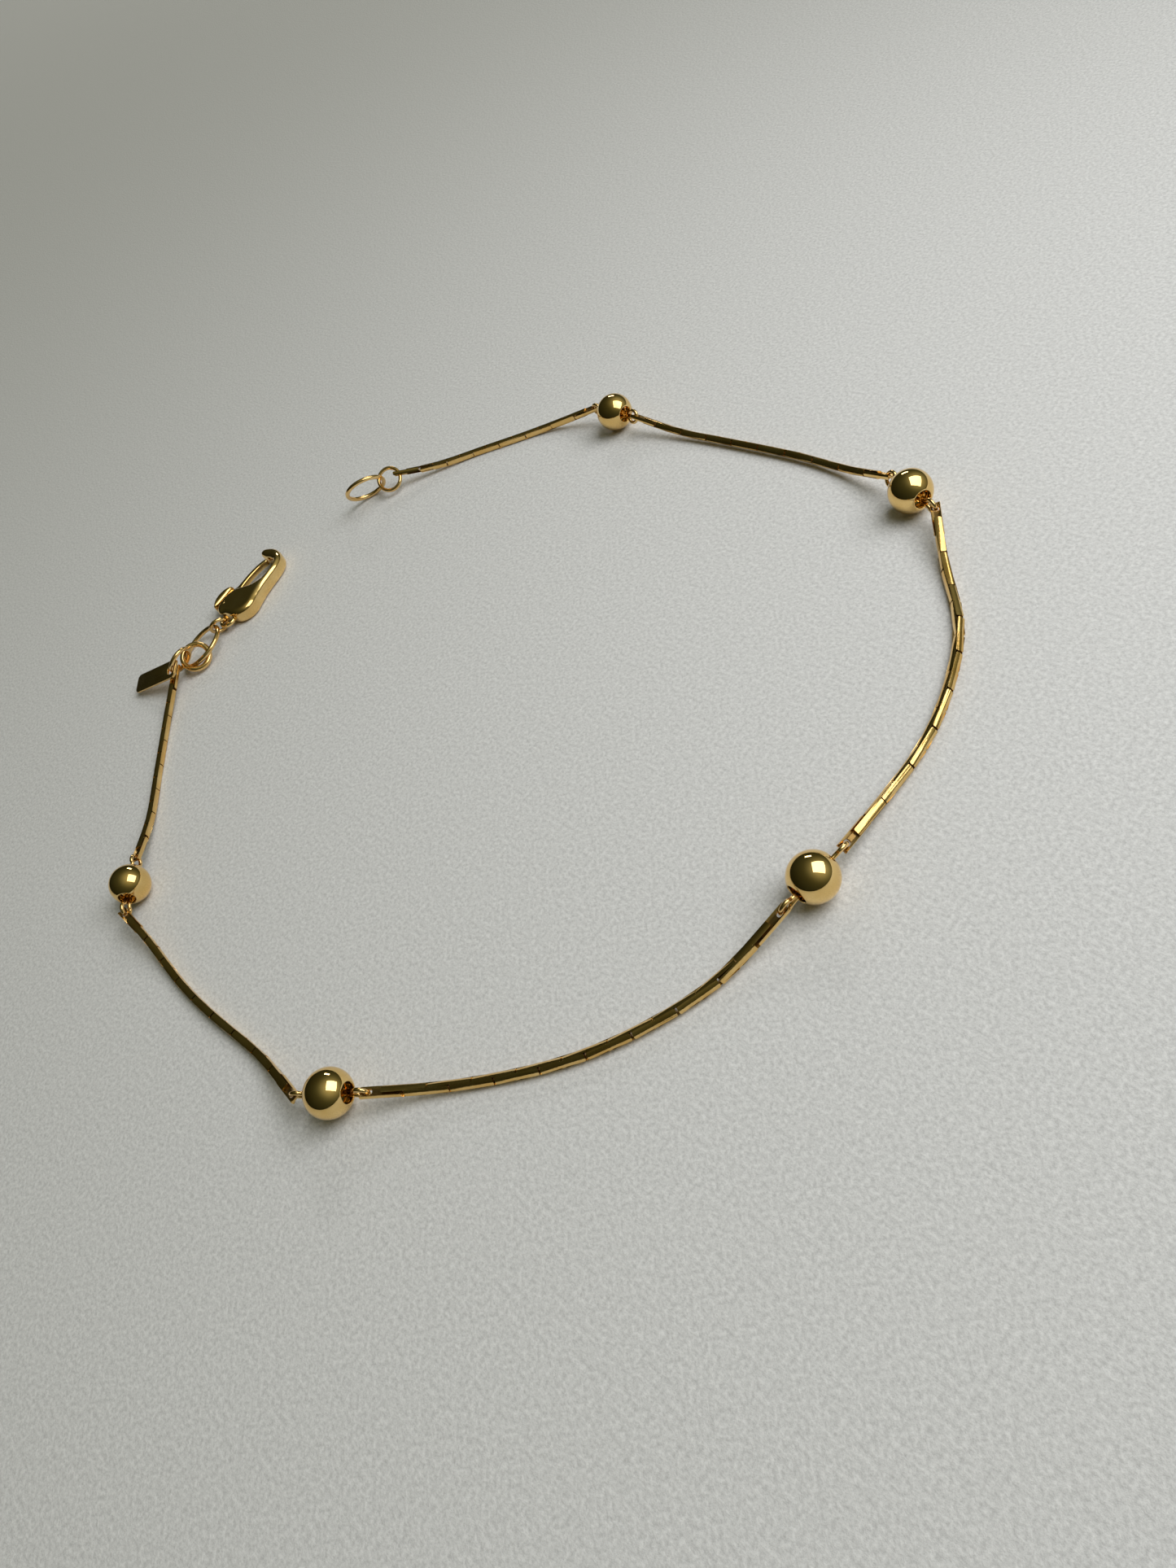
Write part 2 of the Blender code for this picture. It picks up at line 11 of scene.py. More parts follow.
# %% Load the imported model
import math
from collections import namedtuple

import bmesh
import bpy
import numpy as np
from mathutils import Matrix, Vector
from mathutils.geometry import delaunay_2d_cdt


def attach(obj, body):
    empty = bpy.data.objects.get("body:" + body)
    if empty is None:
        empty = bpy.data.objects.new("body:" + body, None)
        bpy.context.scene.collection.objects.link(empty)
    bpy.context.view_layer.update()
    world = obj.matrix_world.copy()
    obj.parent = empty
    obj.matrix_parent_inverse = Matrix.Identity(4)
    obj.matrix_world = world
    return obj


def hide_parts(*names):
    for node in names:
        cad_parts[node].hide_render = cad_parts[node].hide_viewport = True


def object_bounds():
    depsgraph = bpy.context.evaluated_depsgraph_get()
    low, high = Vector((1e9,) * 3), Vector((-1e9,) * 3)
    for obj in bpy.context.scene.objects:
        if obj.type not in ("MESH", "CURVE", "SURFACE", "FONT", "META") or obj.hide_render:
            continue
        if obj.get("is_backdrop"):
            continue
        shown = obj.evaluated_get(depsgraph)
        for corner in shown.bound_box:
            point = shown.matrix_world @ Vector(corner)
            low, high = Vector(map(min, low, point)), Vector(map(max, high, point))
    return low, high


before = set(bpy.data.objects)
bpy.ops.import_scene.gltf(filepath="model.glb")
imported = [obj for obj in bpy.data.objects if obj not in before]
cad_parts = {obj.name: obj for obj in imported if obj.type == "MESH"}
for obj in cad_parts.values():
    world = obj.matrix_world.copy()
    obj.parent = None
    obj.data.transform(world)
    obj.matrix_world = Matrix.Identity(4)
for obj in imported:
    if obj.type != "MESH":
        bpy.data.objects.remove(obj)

MM = 0.001
UP = Vector((0, 0, 1))
cad_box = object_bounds()
sides_mm = [round(side / MM, 1) for side in cad_box[1] - cad_box[0]]
print("packed model:", len(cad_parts), "nodes,", sides_mm, "mm")

# %% [markdown]
# ## Shader maths as plain expressions
#
# A node tree is easier to read when its maths looks like maths. `Signal` holds one output socket,
# and its operators add Math nodes, so `1 - wear * 0.5` becomes two nodes and their links. `Nodes`
# holds a tree, and its one method `node` adds every other kind of node. `Finish` is the tree of a
# material, which ends in a Principled shader. Nodes could also be wired one by one, but the lines
# that do so hide what is mixed with what.

# %% Wrap a socket
class Signal:
    """A number, colour or place that varies: one output socket of a node tree."""

    def __init__(self, nodes, socket):
        self.nodes = nodes
        self.socket = socket

    def math(self, operation, *values):
        return self.nodes.node("ShaderNodeMath", {"operation": operation}, *values)

    def __add__(self, other):
        return self.math("ADD", self, other)

    def __sub__(self, other):
        return self.math("SUBTRACT", self, other)

    def __rsub__(self, other):
        return self.math("SUBTRACT", other, self)

    def __mul__(self, other):
        return self.math("MULTIPLY", self, other)

    def __pow__(self, other):
        return self.math("POWER", self, other)

    __radd__ = __add__
    __rmul__ = __mul__

    def clamped(self):
        return self.math("MINIMUM", self.math("MAXIMUM", self, 0.0), 1.0)

    def spread(self, contrast):
        """The same number with its distance from one half made larger, kept from 0 to 1."""
        return ((self - 0.5) * contrast + 0.5).clamped()


# %% Wrap a node tree and a material
class Nodes:
    """A node tree, to which nodes are added one by one."""

    def __init__(self, tree):
        self.tree = tree

    def feed(self, socket, value):
        if isinstance(value, Signal):
            self.tree.links.new(value.socket, socket)
        elif socket.type == "RGBA":
            socket.default_value = (*value, 1.0)
        else:
            socket.default_value = value

    def node(self, kind, settings, *values, output=0, **named):
        """Add a node: settings first, then its sockets in order, None to skip one, or by name."""
        made = self.tree.nodes.new(kind)
        for key, value in settings.items():
            setattr(made, key, value)
        for socket, value in zip(made.inputs, values):
            if value is not None:
                self.feed(socket, value)
        for key, value in named.items():
            self.feed(made.inputs[key.replace("_", " ")], value)
        return Signal(self, made.outputs[output])


class Finish(Nodes):
    """The node tree of a new material, made for one slot."""

    def __init__(self, slot, metallic=1.0):
        self.slot = slot
        self.material = bpy.data.materials.new(slot + "_finish")
        self.material.use_nodes = True
        super().__init__(self.material.node_tree)
        self.set(Metallic=metallic)

    def set(self, **named):
        shader = self.tree.nodes["Principled BSDF"]
        for key, value in named.items():
            self.feed(shader.inputs[key.replace("_", " ")], value)


# %% [markdown]
# ## What every gold finish shares
#
# Polished gold has almost no colour of its own to paint: it shows the room, tinted yellow. What
# makes it real is small: the tint drifts a little, finger grease dulls it in soft patches, and
# fine scratches break the reflections. Each finish below mixes these parts in its own amounts and
# at its own scale. A photograph of worn metal would need unwrapping and blur close up, and noise
# does neither. Its coordinates are in metres, so a scale of 1000 means one patch a millimetre.

# %% Shared parts of a gold finish
PER_MM = 1 / MM
OTHER_SOCKETS = [None] * 5
COLOUR_RESULT = 2
TINT_CONTRAST = 2.2
SMUDGE_START = 0.45
SMUDGE_CONTRAST = 3.0


def mix_colour(nodes, share, first, second):
    """A blend of two colours, whose sockets come after those for numbers and vectors."""
    return nodes.node("ShaderNodeMix", {"data_type": "RGBA"}, share, *OTHER_SOCKETS, first, second,
                      output=COLOUR_RESULT)


def noise(nodes, per_mm, detail, roughness, distortion=0.0, turn=None, stretch=None):
    """Noise from 0 to 1 in the piece's own space, which may be turned and then stretched."""
    place = nodes.node("ShaderNodeTexCoord", {}, output="Object")
    if stretch:
        place = nodes.node("ShaderNodeMapping", {}, Vector=place, Rotation=turn, Scale=stretch)
    return nodes.node("ShaderNodeTexNoise", {"noise_dimensions": "3D"}, Vector=place,
                      Scale=per_mm * PER_MM, Detail=detail, Roughness=roughness,
                      Distortion=distortion)


def gold_tint(nodes, deep, bright, per_mm):
    """A colour that drifts softly between two tints of one alloy."""
    drift = noise(nodes, per_mm, detail=3.0, roughness=0.55)
    return mix_colour(nodes, drift.spread(TINT_CONTRAST), deep, bright)


def polish(nodes, clean, handled, per_mm):
    """A roughness that rises in soft patches, where handling has dulled the polish."""
    patches = noise(nodes, per_mm, detail=5.0, roughness=0.6, distortion=0.4)
    dulled = ((patches - SMUDGE_START) * SMUDGE_CONTRAST).clamped()
    return clean + (handled - clean) * dulled


def fine_scratches(nodes, per_mm, turn, stretch, strength, depth):
    """A bump of hair-fine scratches, long one way and narrow the other."""
    lines = noise(nodes, per_mm, detail=4.0, roughness=0.7, turn=turn, stretch=stretch)
    return nodes.node("ShaderNodeBump", {}, Strength=strength, Distance=depth, Height=lines)


# %% [markdown]
# ## Bead polish
#
# The beads are buffed like mirrors, so the dark room, the table and the window all show in them.
# Roughness stays very low. Only a breath of smudging and scratches too fine to see one by one keep
# the reflections from looking computed.

# %% Bead finish
bead_gold = Finish("bead_gold")
bead_gold.set(
    Base_Color=gold_tint(bead_gold, deep=(0.80, 0.52, 0.17), bright=(0.93, 0.67, 0.29),
                         per_mm=0.8),
    Roughness=polish(bead_gold, clean=0.035, handled=0.07, per_mm=0.9),
    Normal=fine_scratches(bead_gold, per_mm=6.0, turn=(0.4, 0.2, 0.9), stretch=(0.25, 1.0, 1.0),
                          strength=0.05, depth=0.01 * MM),
)
print("bead finish:", len(bead_gold.tree.nodes), "nodes")

# %% [markdown]
# ## Chain finish
#
# The chain is filed flat on four sides, so each plate is a tiny mirror with its own tilt. Two
# values stored on the mesh drive its colour. `recess` runs from 0 on the filed faces to 1 inside
# the links, where polish never reaches and the colour is darkened as painted shade, and `tone`
# differs a little from link to link. A mask from the shape alone, such as pointiness, would miss
# both. Filing marks run across the plates as a faint bump.

# %% Chain finish
WARM_GOLD = (0.80, 0.47, 0.13)
WARM_SHARE = 0.35
# A dark brown mixed into the colour deep inside the links: painted shade in the recesses.
RECESS_SHADE_GOLD = (0.22, 0.13, 0.045)
RECESS_SHADE_SHARE = 0.8
TONE_DULLING = 0.04
RECESS_DULLING = 0.25
chain_gold = Finish("chain_gold")
recess = chain_gold.node("ShaderNodeAttribute", {"attribute_name": "recess"}, output="Fac")
tone = chain_gold.node("ShaderNodeAttribute", {"attribute_name": "tone"}, output="Fac")
plate_tint = gold_tint(chain_gold, deep=(0.78, 0.49, 0.15), bright=(0.94, 0.68, 0.30), per_mm=0.7)
link_tint = mix_colour(chain_gold, tone * WARM_SHARE, plate_tint, WARM_GOLD)
plate_polish = polish(chain_gold, clean=0.07, handled=0.13, per_mm=2.0)
chain_gold.set(
    Base_Color=mix_colour(chain_gold, recess * RECESS_SHADE_SHARE, link_tint, RECESS_SHADE_GOLD),
    Roughness=plate_polish + tone * TONE_DULLING + recess * RECESS_DULLING,
    Normal=fine_scratches(chain_gold, per_mm=3.0, turn=(0.0, 0.0, 0.5), stretch=(1.0, 1.0, 0.5),
                          strength=0.35, depth=0.02 * MM),
)
print("chain finish:", len(chain_gold.tree.nodes), "nodes")

# %% [markdown]
# ## Wire, clasp and tag finishes
#
# Rings and eyes are drawn wire, tumbled bright, so they are smooth with soft waves. The clasp is
# cast, and casting leaves a skin like orange peel that polishing only flattens. The tag is rolled
# sheet, and its faces keep the straight hair lines of the roller. One gold for all three would be
# simpler, but their different shine tells the pieces apart.

# %% Wire finish
wire_gold = Finish("wire_gold")
wire_gold.set(
    Base_Color=gold_tint(wire_gold, deep=(0.80, 0.50, 0.17), bright=(0.95, 0.68, 0.32),
                         per_mm=1.2),
    Roughness=polish(wire_gold, clean=0.12, handled=0.22, per_mm=2.5),
    Normal=fine_scratches(wire_gold, per_mm=5.0, turn=(0.3, 0.5, 0.1), stretch=(1.0, 0.4, 1.0),
                          strength=0.08, depth=0.01 * MM),
)
print("wire finish:", len(wire_gold.tree.nodes), "nodes")

# %% Clasp finish
clasp_gold = Finish("clasp_gold")
casting_skin = noise(clasp_gold, per_mm=2.6, detail=2.0, roughness=0.4)
clasp_gold.set(
    Base_Color=gold_tint(clasp_gold, deep=(0.80, 0.51, 0.17), bright=(0.93, 0.68, 0.30),
                         per_mm=0.6),
    Roughness=polish(clasp_gold, clean=0.10, handled=0.18, per_mm=1.4),
    Normal=clasp_gold.node("ShaderNodeBump", {}, Strength=0.10, Distance=0.03 * MM,
                           Height=casting_skin),
)
print("clasp finish:", len(clasp_gold.tree.nodes), "nodes")

# %% Tag finish
tag_gold = Finish("tag_gold")
tag_gold.set(
    Base_Color=gold_tint(tag_gold, deep=(0.72, 0.45, 0.15), bright=(0.88, 0.62, 0.27),
                         per_mm=0.9),
    Roughness=polish(tag_gold, clean=0.12, handled=0.22, per_mm=1.6),
    Normal=fine_scratches(tag_gold, per_mm=12.0, turn=(0.0, 0.0, 0.0), stretch=(0.06, 1.0, 1.0),
                          strength=0.15, depth=0.01 * MM),
)
print("tag finish:", len(tag_gold.tree.nodes), "nodes")

# %% [markdown]
# ## Putting a piece in place
#
# Every fine mesh stands for one solid of the imported model. `place_piece` hides that solid, lets
# the new mesh move with its body, and gives the mesh the material of its finish. The mesh is moved,
# not its object, so that no two beads take the same patch of noise.

# %% Place a piece
def add_object(name, data):
    made = bpy.data.objects.new(name, data)
    bpy.context.scene.collection.objects.link(made)
    return made


def place_piece(piece, node, finish, body="bracelet", matrix=None):
    if matrix is not None:
        piece.data.transform(matrix)
    piece.data.materials.clear()
    piece.data.materials.append(finish.material)
    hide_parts(node)
    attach(piece, body)


def count_triangles(mesh):
    mesh.calc_loop_triangles()
    return len(mesh.loop_triangles)


def smooth(mesh, crease=40):
    """Shade the mesh smooth, apart from edges that turn by more than the crease in degrees."""
    mesh.shade_smooth()
    mesh.set_sharp_from_angle(angle=math.radians(crease))


# %% [markdown]
# ## Round pieces
#
# A bead is a profile turned round its bore, so it is made as rings of points. The solid has 16
# sides; here it gets 96, and the rim of the bore gets a small rolled lip, because a bored bead is
# never sharp there. The hollow inside is kept, since the bore shows it. A hole cut through a sphere
# primitive would be quicker, but would leave a ragged rim.

# %% Turn a profile
def closed_mesh(name, points, faces, weld=None):
    """A mesh with all its faces turned outwards; points nearer than weld become one."""
    mesh = bpy.data.meshes.new(name)
    mesh.from_pydata(points, [], faces)
    work = bmesh.new()
    work.from_mesh(mesh)
    if weld:
        bmesh.ops.remove_doubles(work, verts=work.verts, dist=weld)
        bmesh.ops.dissolve_degenerate(work, edges=work.edges, dist=weld)
    bmesh.ops.recalc_face_normals(work, faces=work.faces)
    work.to_mesh(mesh)
    work.free()
    return mesh


def turned_mesh(name, profile, steps, weld=None):
    """A closed profile of (radius, height) points turned about z."""
    angles = np.linspace(0.0, 2 * math.pi, steps, endpoint=False)
    points = [(r * math.cos(a), r * math.sin(a), h) for a in angles for r, h in profile]
    count = len(profile)
    faces = []
    for step in range(steps):
        near = step * count
        far = (step + 1) % steps * count
        for k in range(count):
            ahead = (k + 1) % count
            faces.append((near + k, near + ahead, far + ahead, far + k))
    return closed_mesh(name, points, faces, weld)


# %% Make the beads
BEAD_RADIUS = 1.5 * MM
BEAD_WALL = 0.3 * MM
BORE_RADIUS = 0.62 * MM
BEAD_LIP = 0.07 * MM
BEAD_STEPS = 96
OUTER_POINTS = 56
INNER_POINTS = 24
LIP_POINTS = 7
Bead = namedtuple("Bead", "name x y heading back_roll front_roll")
BEADS = [
    # name, place in mm, heading of the bore and rolls of the eyes behind and ahead in degrees
    Bead("bead_1", 11.67, 26.65, 140, 0, -5),
    Bead("bead_2", -16.81, 26.36, 216, -10, 0),
    Bead("bead_3", -32.83, 0.91, 264, -10, 30),
    Bead("bead_4", -20.88, -26.33, 340, 0, 30),
    Bead("bead_5", 9.13, -27.62, 1, -30, 0),
]


def bead_profile():
    """The ball's outer arc, a rolled lip, the inner arc, and the lip at the other end."""
    inner_radius = BEAD_RADIUS - BEAD_WALL
    outer_start = math.asin((BORE_RADIUS + BEAD_LIP) / BEAD_RADIUS)
    inner_start = math.asin(BORE_RADIUS / inner_radius)
    outer = [(BEAD_RADIUS * math.sin(a), BEAD_RADIUS * math.cos(a))
             for a in np.linspace(outer_start, math.pi - outer_start, OUTER_POINTS)]
    inner = [(inner_radius * math.sin(a), inner_radius * math.cos(a))
             for a in np.linspace(math.pi - inner_start, inner_start, INNER_POINTS)]
    top = BEAD_RADIUS * math.cos(outer_start)
    lip = [(BORE_RADIUS + BEAD_LIP * (1 - math.sin(t)), top - BEAD_LIP * (1 - math.cos(t)))
           for t in np.linspace(0.0, math.pi / 2, LIP_POINTS)[1:]]
    return outer + [(r, -z) for r, z in lip] + inner + lip[::-1]


for bead in BEADS:
    mesh = turned_mesh(bead.name + "_polished", bead_profile(), BEAD_STEPS)
    smooth(mesh)
    place = Matrix.Translation((bead.x * MM, bead.y * MM, BEAD_RADIUS))
    turn = Matrix.Rotation(math.radians(bead.heading), 4, "Z")
    upright_to_level = Matrix.Rotation(math.pi / 2, 4, "Y")
    place_piece(add_object(mesh.name, mesh), bead.name, bead_gold,
                matrix=place @ turn @ upright_to_level)
print(f"{len(BEADS)} beads, {count_triangles(mesh)} triangles each")

# %% [markdown]
# ## Wire pieces
#
# Each bead is strung on a closed loop of wire, pinched to two strands in the bore and opened to an
# eye at each end. Rings and eyes alike are round wire bent along a line. A curve with a bevel
# does it, and is then turned into a plain mesh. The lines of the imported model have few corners; a
# smooth closed curve through those corners rounds them.

# %% Bend a wire
WIRE_RESOLUTION = 5


def closed_curve(corners, steps):
    """Points on a smooth closed curve through the corners, steps of them between each two."""
    count = len(corners)
    points = []
    for i in range(count):
        before, start, end, after = (corners[(i + k) % count] for k in (-1, 0, 1, 2))
        for k in range(steps):
            t = k / steps
            points.append(0.5 * (2 * start + (end - before) * t
                                 + (2 * before - 5 * start + 4 * end - after) * t * t
                                 + (3 * start - before - 3 * end + after) * t ** 3))
    return points


def wire_mesh(name, points, radius):
    """A closed tube of round wire along the points."""
    curve = bpy.data.curves.new(name, "CURVE")
    curve.dimensions = "3D"
    curve.bevel_depth = radius
    curve.bevel_resolution = WIRE_RESOLUTION
    curve.twist_mode = "MINIMUM"
    line = curve.splines.new("POLY")
    line.points.add(len(points) - 1)
    for place, point in zip(line.points, points):
        place.co = (*point, 1.0)
    line.use_cyclic_u = True
    source = add_object(name + "_line", curve)
    bpy.context.view_layer.update()
    mesh = bpy.data.meshes.new_from_object(
        source.evaluated_get(bpy.context.evaluated_depsgraph_get()))
    bpy.data.objects.remove(source, do_unlink=True)
    mesh.name = name
    smooth(mesh, crease=60)
    return mesh


# %% Follow the wire through a bead
CONNECTOR_WIRE = 0.14 * MM
CONNECTOR_HEIGHT = 1.4 * MM
CONNECTOR_STEPS = 5
NECK_HALF_GAP = 0.2 * MM
NECK_END = 1.1 * MM
NECK_POINTS = 5
EYE_CENTRE = 2.15 * MM
EYE_RADIUS = 0.48 * MM
EYE_POINTS = 9
EYE_SWING = math.pi - math.radians(35)


def bead_end(bead, sign):
    """The eye at the back (-1) or front (1) of a bead: centre, way out, and way across."""
    away = Matrix.Rotation(math.radians(bead.heading), 3, "Z") @ Vector((sign, 0, 0))
    roll = math.radians(bead.front_roll if sign > 0 else bead.back_roll)
    middle = Vector((bead.x * MM, bead.y * MM, CONNECTOR_HEIGHT))
    return middle + away * EYE_CENTRE, away, Matrix.Rotation(roll, 3, away) @ UP


def connector_line(back, front):
    """The closed line of wire: two necks through the bead and an eye at each end."""
    centre = (back[0] + front[0]) / 2
    axis = (front[0] - back[0]).normalized()
    level = UP.cross(axis).normalized()
    upward = axis.cross(level)
    first = math.atan2(back[2].dot(upward), back[2].dot(level))
    last = math.atan2(front[2].dot(upward), front[2].dot(level))
    last -= math.pi * round((last - first) / math.pi)

    def across(part):
        angle = first + (last - first) * part
        return level * math.cos(angle) + upward * math.sin(angle)

    def eye(end, side):
        turns = [EYE_SWING * (2 * k / (EYE_POINTS - 1) - 1) for k in range(EYE_POINTS)]
        return [end[0] + EYE_RADIUS * (end[1] * math.cos(turn) + side * math.sin(turn))
                for turn in turns]

    def neck(sign):
        parts = [k / (NECK_POINTS - 1) for k in range(NECK_POINTS)]
        return [centre + axis * NECK_END * (2 * part - 1) + across(part) * NECK_HALF_GAP * sign
                for part in parts]

    return neck(-1) + eye(front, across(1.0)) + neck(1)[::-1] + eye(back, across(0.0))[::-1]


# %% Make the connectors
for bead in BEADS:
    name = bead.name.replace("bead", "connector")
    corners = connector_line(bead_end(bead, -1), bead_end(bead, 1))
    mesh = wire_mesh(name + "_wire", closed_curve(corners, CONNECTOR_STEPS), CONNECTOR_WIRE)
    place_piece(add_object(mesh.name, mesh), name, wire_gold)
print(f"{len(BEADS)} connectors, {count_triangles(mesh)} triangles each")

# %% [markdown]
# ## Rings
#
# Jump rings are wire wound round a rod, sawn off turn by turn and closed. A torus primitive gives
# the same shape, but `wire_mesh` is there already, and a circle is the plainest line it can
# follow. Every ring leans on its neighbours, so each has a centre and a normal of its own, and a
# clock angle round it names the point where something hangs.

# %% Make the rings
Ring = namedtuple("Ring", "centre normal radius wire")
RINGS = {
    # centre in mm, normal, radius in mm, wire radius in mm
    "clasp_ring": Ring((30.60, 6.12, 0.98), (-0.88, 0.27, -0.40), 0.78, 0.17),
    "large_ring": Ring((30.49, 8.56, 0.77), (0.18, 0.18, 0.97), 2.16, 0.21),
    "jump_ring_2": Ring((29.38, 9.66, 1.06), (-0.52, 0.04, 0.85), 1.18, 0.25),
    "jump_ring_1": Ring((29.47, 10.85, 1.82), (0.82, 0.15, 0.55), 1.16, 0.19),
    "end_ring_1": Ring((27.59, -14.28, 1.21), (-0.48, 0.32, 0.82), 1.06, 0.17),
    "end_ring_2": Ring((28.65, -12.21, 1.65), (0.68, -0.39, 0.61), 1.81, 0.20),
}
RING_STEPS = 96


def ring_point(ring, clock):
    """The middle of a ring's wire, its way out and its way along, at a clock angle."""
    normal = Vector(ring.normal).normalized()
    level = UP.cross(normal).normalized()
    steep = normal.cross(level)
    angle = math.radians(clock)
    out = level * math.cos(angle) + steep * math.sin(angle)
    along = steep * math.cos(angle) - level * math.sin(angle)
    return Vector(ring.centre) * MM + out * ring.radius * MM, out, along


for name, ring in RINGS.items():
    line = [ring_point(ring, 360 * k / RING_STEPS)[0] for k in range(RING_STEPS)]
    mesh = wire_mesh(name + "_wire", line, ring.wire * MM)
    place_piece(add_object(mesh.name, mesh), name, wire_gold)
print(f"{len(RINGS)} rings, {count_triangles(mesh)} triangles each")

# %% [markdown]
# ## Chain links
#
# The chain is an ordinary cable chain with round links, filed until it is square. What is left of
# a link is two long plates on opposite faces, joined at their ends, and the next link's plates lie
# between them at right angles. Along one face the plates almost touch, and each is very slightly
# domed. A link could be modelled by hand and copied, but its length has to follow from the pitch
# of its chain, so it is cut from a bar: the section is a bow tie, the plates get round corners,
# and a slot opens the middle. A small bevel then breaks every edge, and those bevels catch the
# thin bright lines that the eye reads as gold.

# %% Cut, bevel and join
def prism(name, outline, depth):
    """A straight bar with the outline as its section, centred along z."""
    count = len(outline)
    points = [(x, y, z) for z in (-depth / 2, depth / 2) for x, y in outline]
    faces = [tuple(range(count)), tuple(range(count, 2 * count))]
    for near in range(count):
        far = (near + 1) % count
        faces.append((near, far, far + count, near + count))
    return closed_mesh(name, points, faces)


def rounded_box(low, high, corner, steps):
    """The outline of a rectangle with round corners, counter-clockwise."""
    left, right = low[0] + corner, high[0] - corner
    bottom, top = low[1] + corner, high[1] - corner
    centres = [(right, top), (left, top), (left, bottom), (right, bottom)]
    outline = []
    for quarter, (x, y) in enumerate(centres):
        for step in range(steps + 1):
            angle = math.pi / 2 * (quarter + step / steps)
            outline.append((x + corner * math.cos(angle), y + corner * math.sin(angle)))
    return outline


def apply_modifier(thing, kind, **settings):
    modifier = thing.modifiers.new(kind.title(), kind)
    for key, value in settings.items():
        setattr(modifier, key, value)
    bpy.context.view_layer.update()
    mesh = bpy.data.meshes.new_from_object(
        thing.evaluated_get(bpy.context.evaluated_depsgraph_get()))
    thing.modifiers.clear()
    thing.data = mesh


def cut(thing, tool_mesh, operation="DIFFERENCE"):
    tool = add_object("tool", tool_mesh)
    apply_modifier(thing, "BOOLEAN", operation=operation, object=tool, solver="EXACT")
    bpy.data.objects.remove(tool, do_unlink=True)


def break_edges(thing, width, segments, sharper_than):
    """Bevel the edges that turn by more than an angle in degrees."""
    apply_modifier(thing, "BEVEL", width=width, segments=segments, limit_method="ANGLE",
                   angle_limit=math.radians(sharper_than))


# %% Cut one link
SECTION_HALF = 0.28 * MM
END_HALF = 0.34 * MM
END_PLATE = 0.17 * MM
PLATE_HALF = 0.24 * MM
VALLEY_HALF = 0.13 * MM
CORE_HALF = 0.09 * MM
END_CORE = 0.07 * MM
SLOT_HALF = 0.12 * MM
SLOT_ROUNDING = 0.8
SLOT_STEPS = 4
SLOT_PLAY = 0.05 * MM
LINK_LENGTH = 2.46 * MM
HALF_LINK = LINK_LENGTH / 2
END_BAR = 0.66 * MM
EYE_BAR = 0.25 * MM
PLATE_CORNER = 0.09 * MM
PLATE_CORNER_STEPS = 5
PLATE_DOME = 0.045 * MM
PLATE_DOME_POINTS = 7
PLATE_GAP = 0.11 * MM
LINK_BEVEL = 0.022 * MM


def link_section(half_width, half_plate, half_core):
    """A bow tie with domed ends: the right half, then the same turned by half a turn."""
    right = [(half_width - PLATE_DOME * t * t, half_plate * t)
             for t in np.linspace(-1.0, 1.0, PLATE_DOME_POINTS)]
    right += [(VALLEY_HALF, half_core), (-VALLEY_HALF, half_core)]
    return right + [(-x, -y) for x, y in right]


def link_mesh(length, half_width, half_plate, half_core, slot, slot_half):
    """One filed link along x, with its plates on the y faces."""
    half = length / 2
    through = 4 * half_width
    bar = prism("link", link_section(half_width, half_plate, half_core), length)
    bar.transform(Matrix.Rotation(math.pi / 2, 4, "Z") @ Matrix.Rotation(math.pi / 2, 4, "X"))
    thing = add_object("link", bar)
    ends = rounded_box((-half, -half_plate), (half, half_plate), PLATE_CORNER, PLATE_CORNER_STEPS)
    plates = prism("link_ends", ends, through)
    plates.transform(Matrix.Rotation(math.pi / 2, 4, "X"))
    cut(thing, plates, "INTERSECT")
    opening = rounded_box((slot[0], -slot_half), (slot[1], slot_half),
                          slot_half * SLOT_ROUNDING, SLOT_STEPS)
    cut(thing, prism("link_slot", opening, through))
    break_edges(thing, LINK_BEVEL, segments=2, sharper_than=35)
    mesh = thing.data
    bpy.data.objects.remove(thing, do_unlink=True)
    # recess is 1 deep inside a link, where the chain finish paints shade into the colour.
    depth = [1 - (abs(v.co.y) - VALLEY_HALF) / (half_width - VALLEY_HALF) for v in mesh.vertices]
    recess = mesh.attributes.new("recess", "FLOAT", "POINT")
    recess.data.foreach_set("value", np.clip(depth, 0.0, 1.0).astype(np.float32))
    mesh.attributes.new("tone", "FLOAT", "POINT")
    return mesh


def middle_link(pitch):
    """A link whose plates reach almost to those of the next link but one."""
    return link_mesh(2 * pitch - PLATE_GAP, SECTION_HALF, PLATE_HALF, CORE_HALF,
                     (END_BAR - HALF_LINK, HALF_LINK - END_BAR), SLOT_HALF)


def end_link(wire, reach):
    """A link with a wider slot at one end, for a wire of this radius and reach past its middle."""
    slot_start = EYE_BAR - HALF_LINK
    slot_end = 2 * reach - EYE_BAR - HALF_LINK + SLOT_PLAY
    return link_mesh(LINK_LENGTH, END_HALF, END_PLATE, END_CORE, (slot_start, slot_end),
                     wire + SLOT_PLAY)


print(f"square chain, {2 * SECTION_HALF / MM:.2f} mm wide, {LINK_LENGTH / MM:.2f} mm links")

# %% [markdown]
# ## Laying the chain
#
# Each length follows a route over the table: a smooth curve through a few measured points, from
# the eye of one bead to the eye of the next. Links are set along it one pitch apart, every second
# one turned by a right angle. An array along a curve would bend the links themselves. A real link
# is stiff, so it takes its direction from two points a millimetre before and behind its middle,
# and the chain bends only between links.

# %% Follow a route
PATH_STEPS = 40
LEAD = 1.2 * MM
FRAME_REACH = 1.0 * MM
FLOOR_PLAY = 0.01 * MM
BAR_GAP = 0.05 * MM


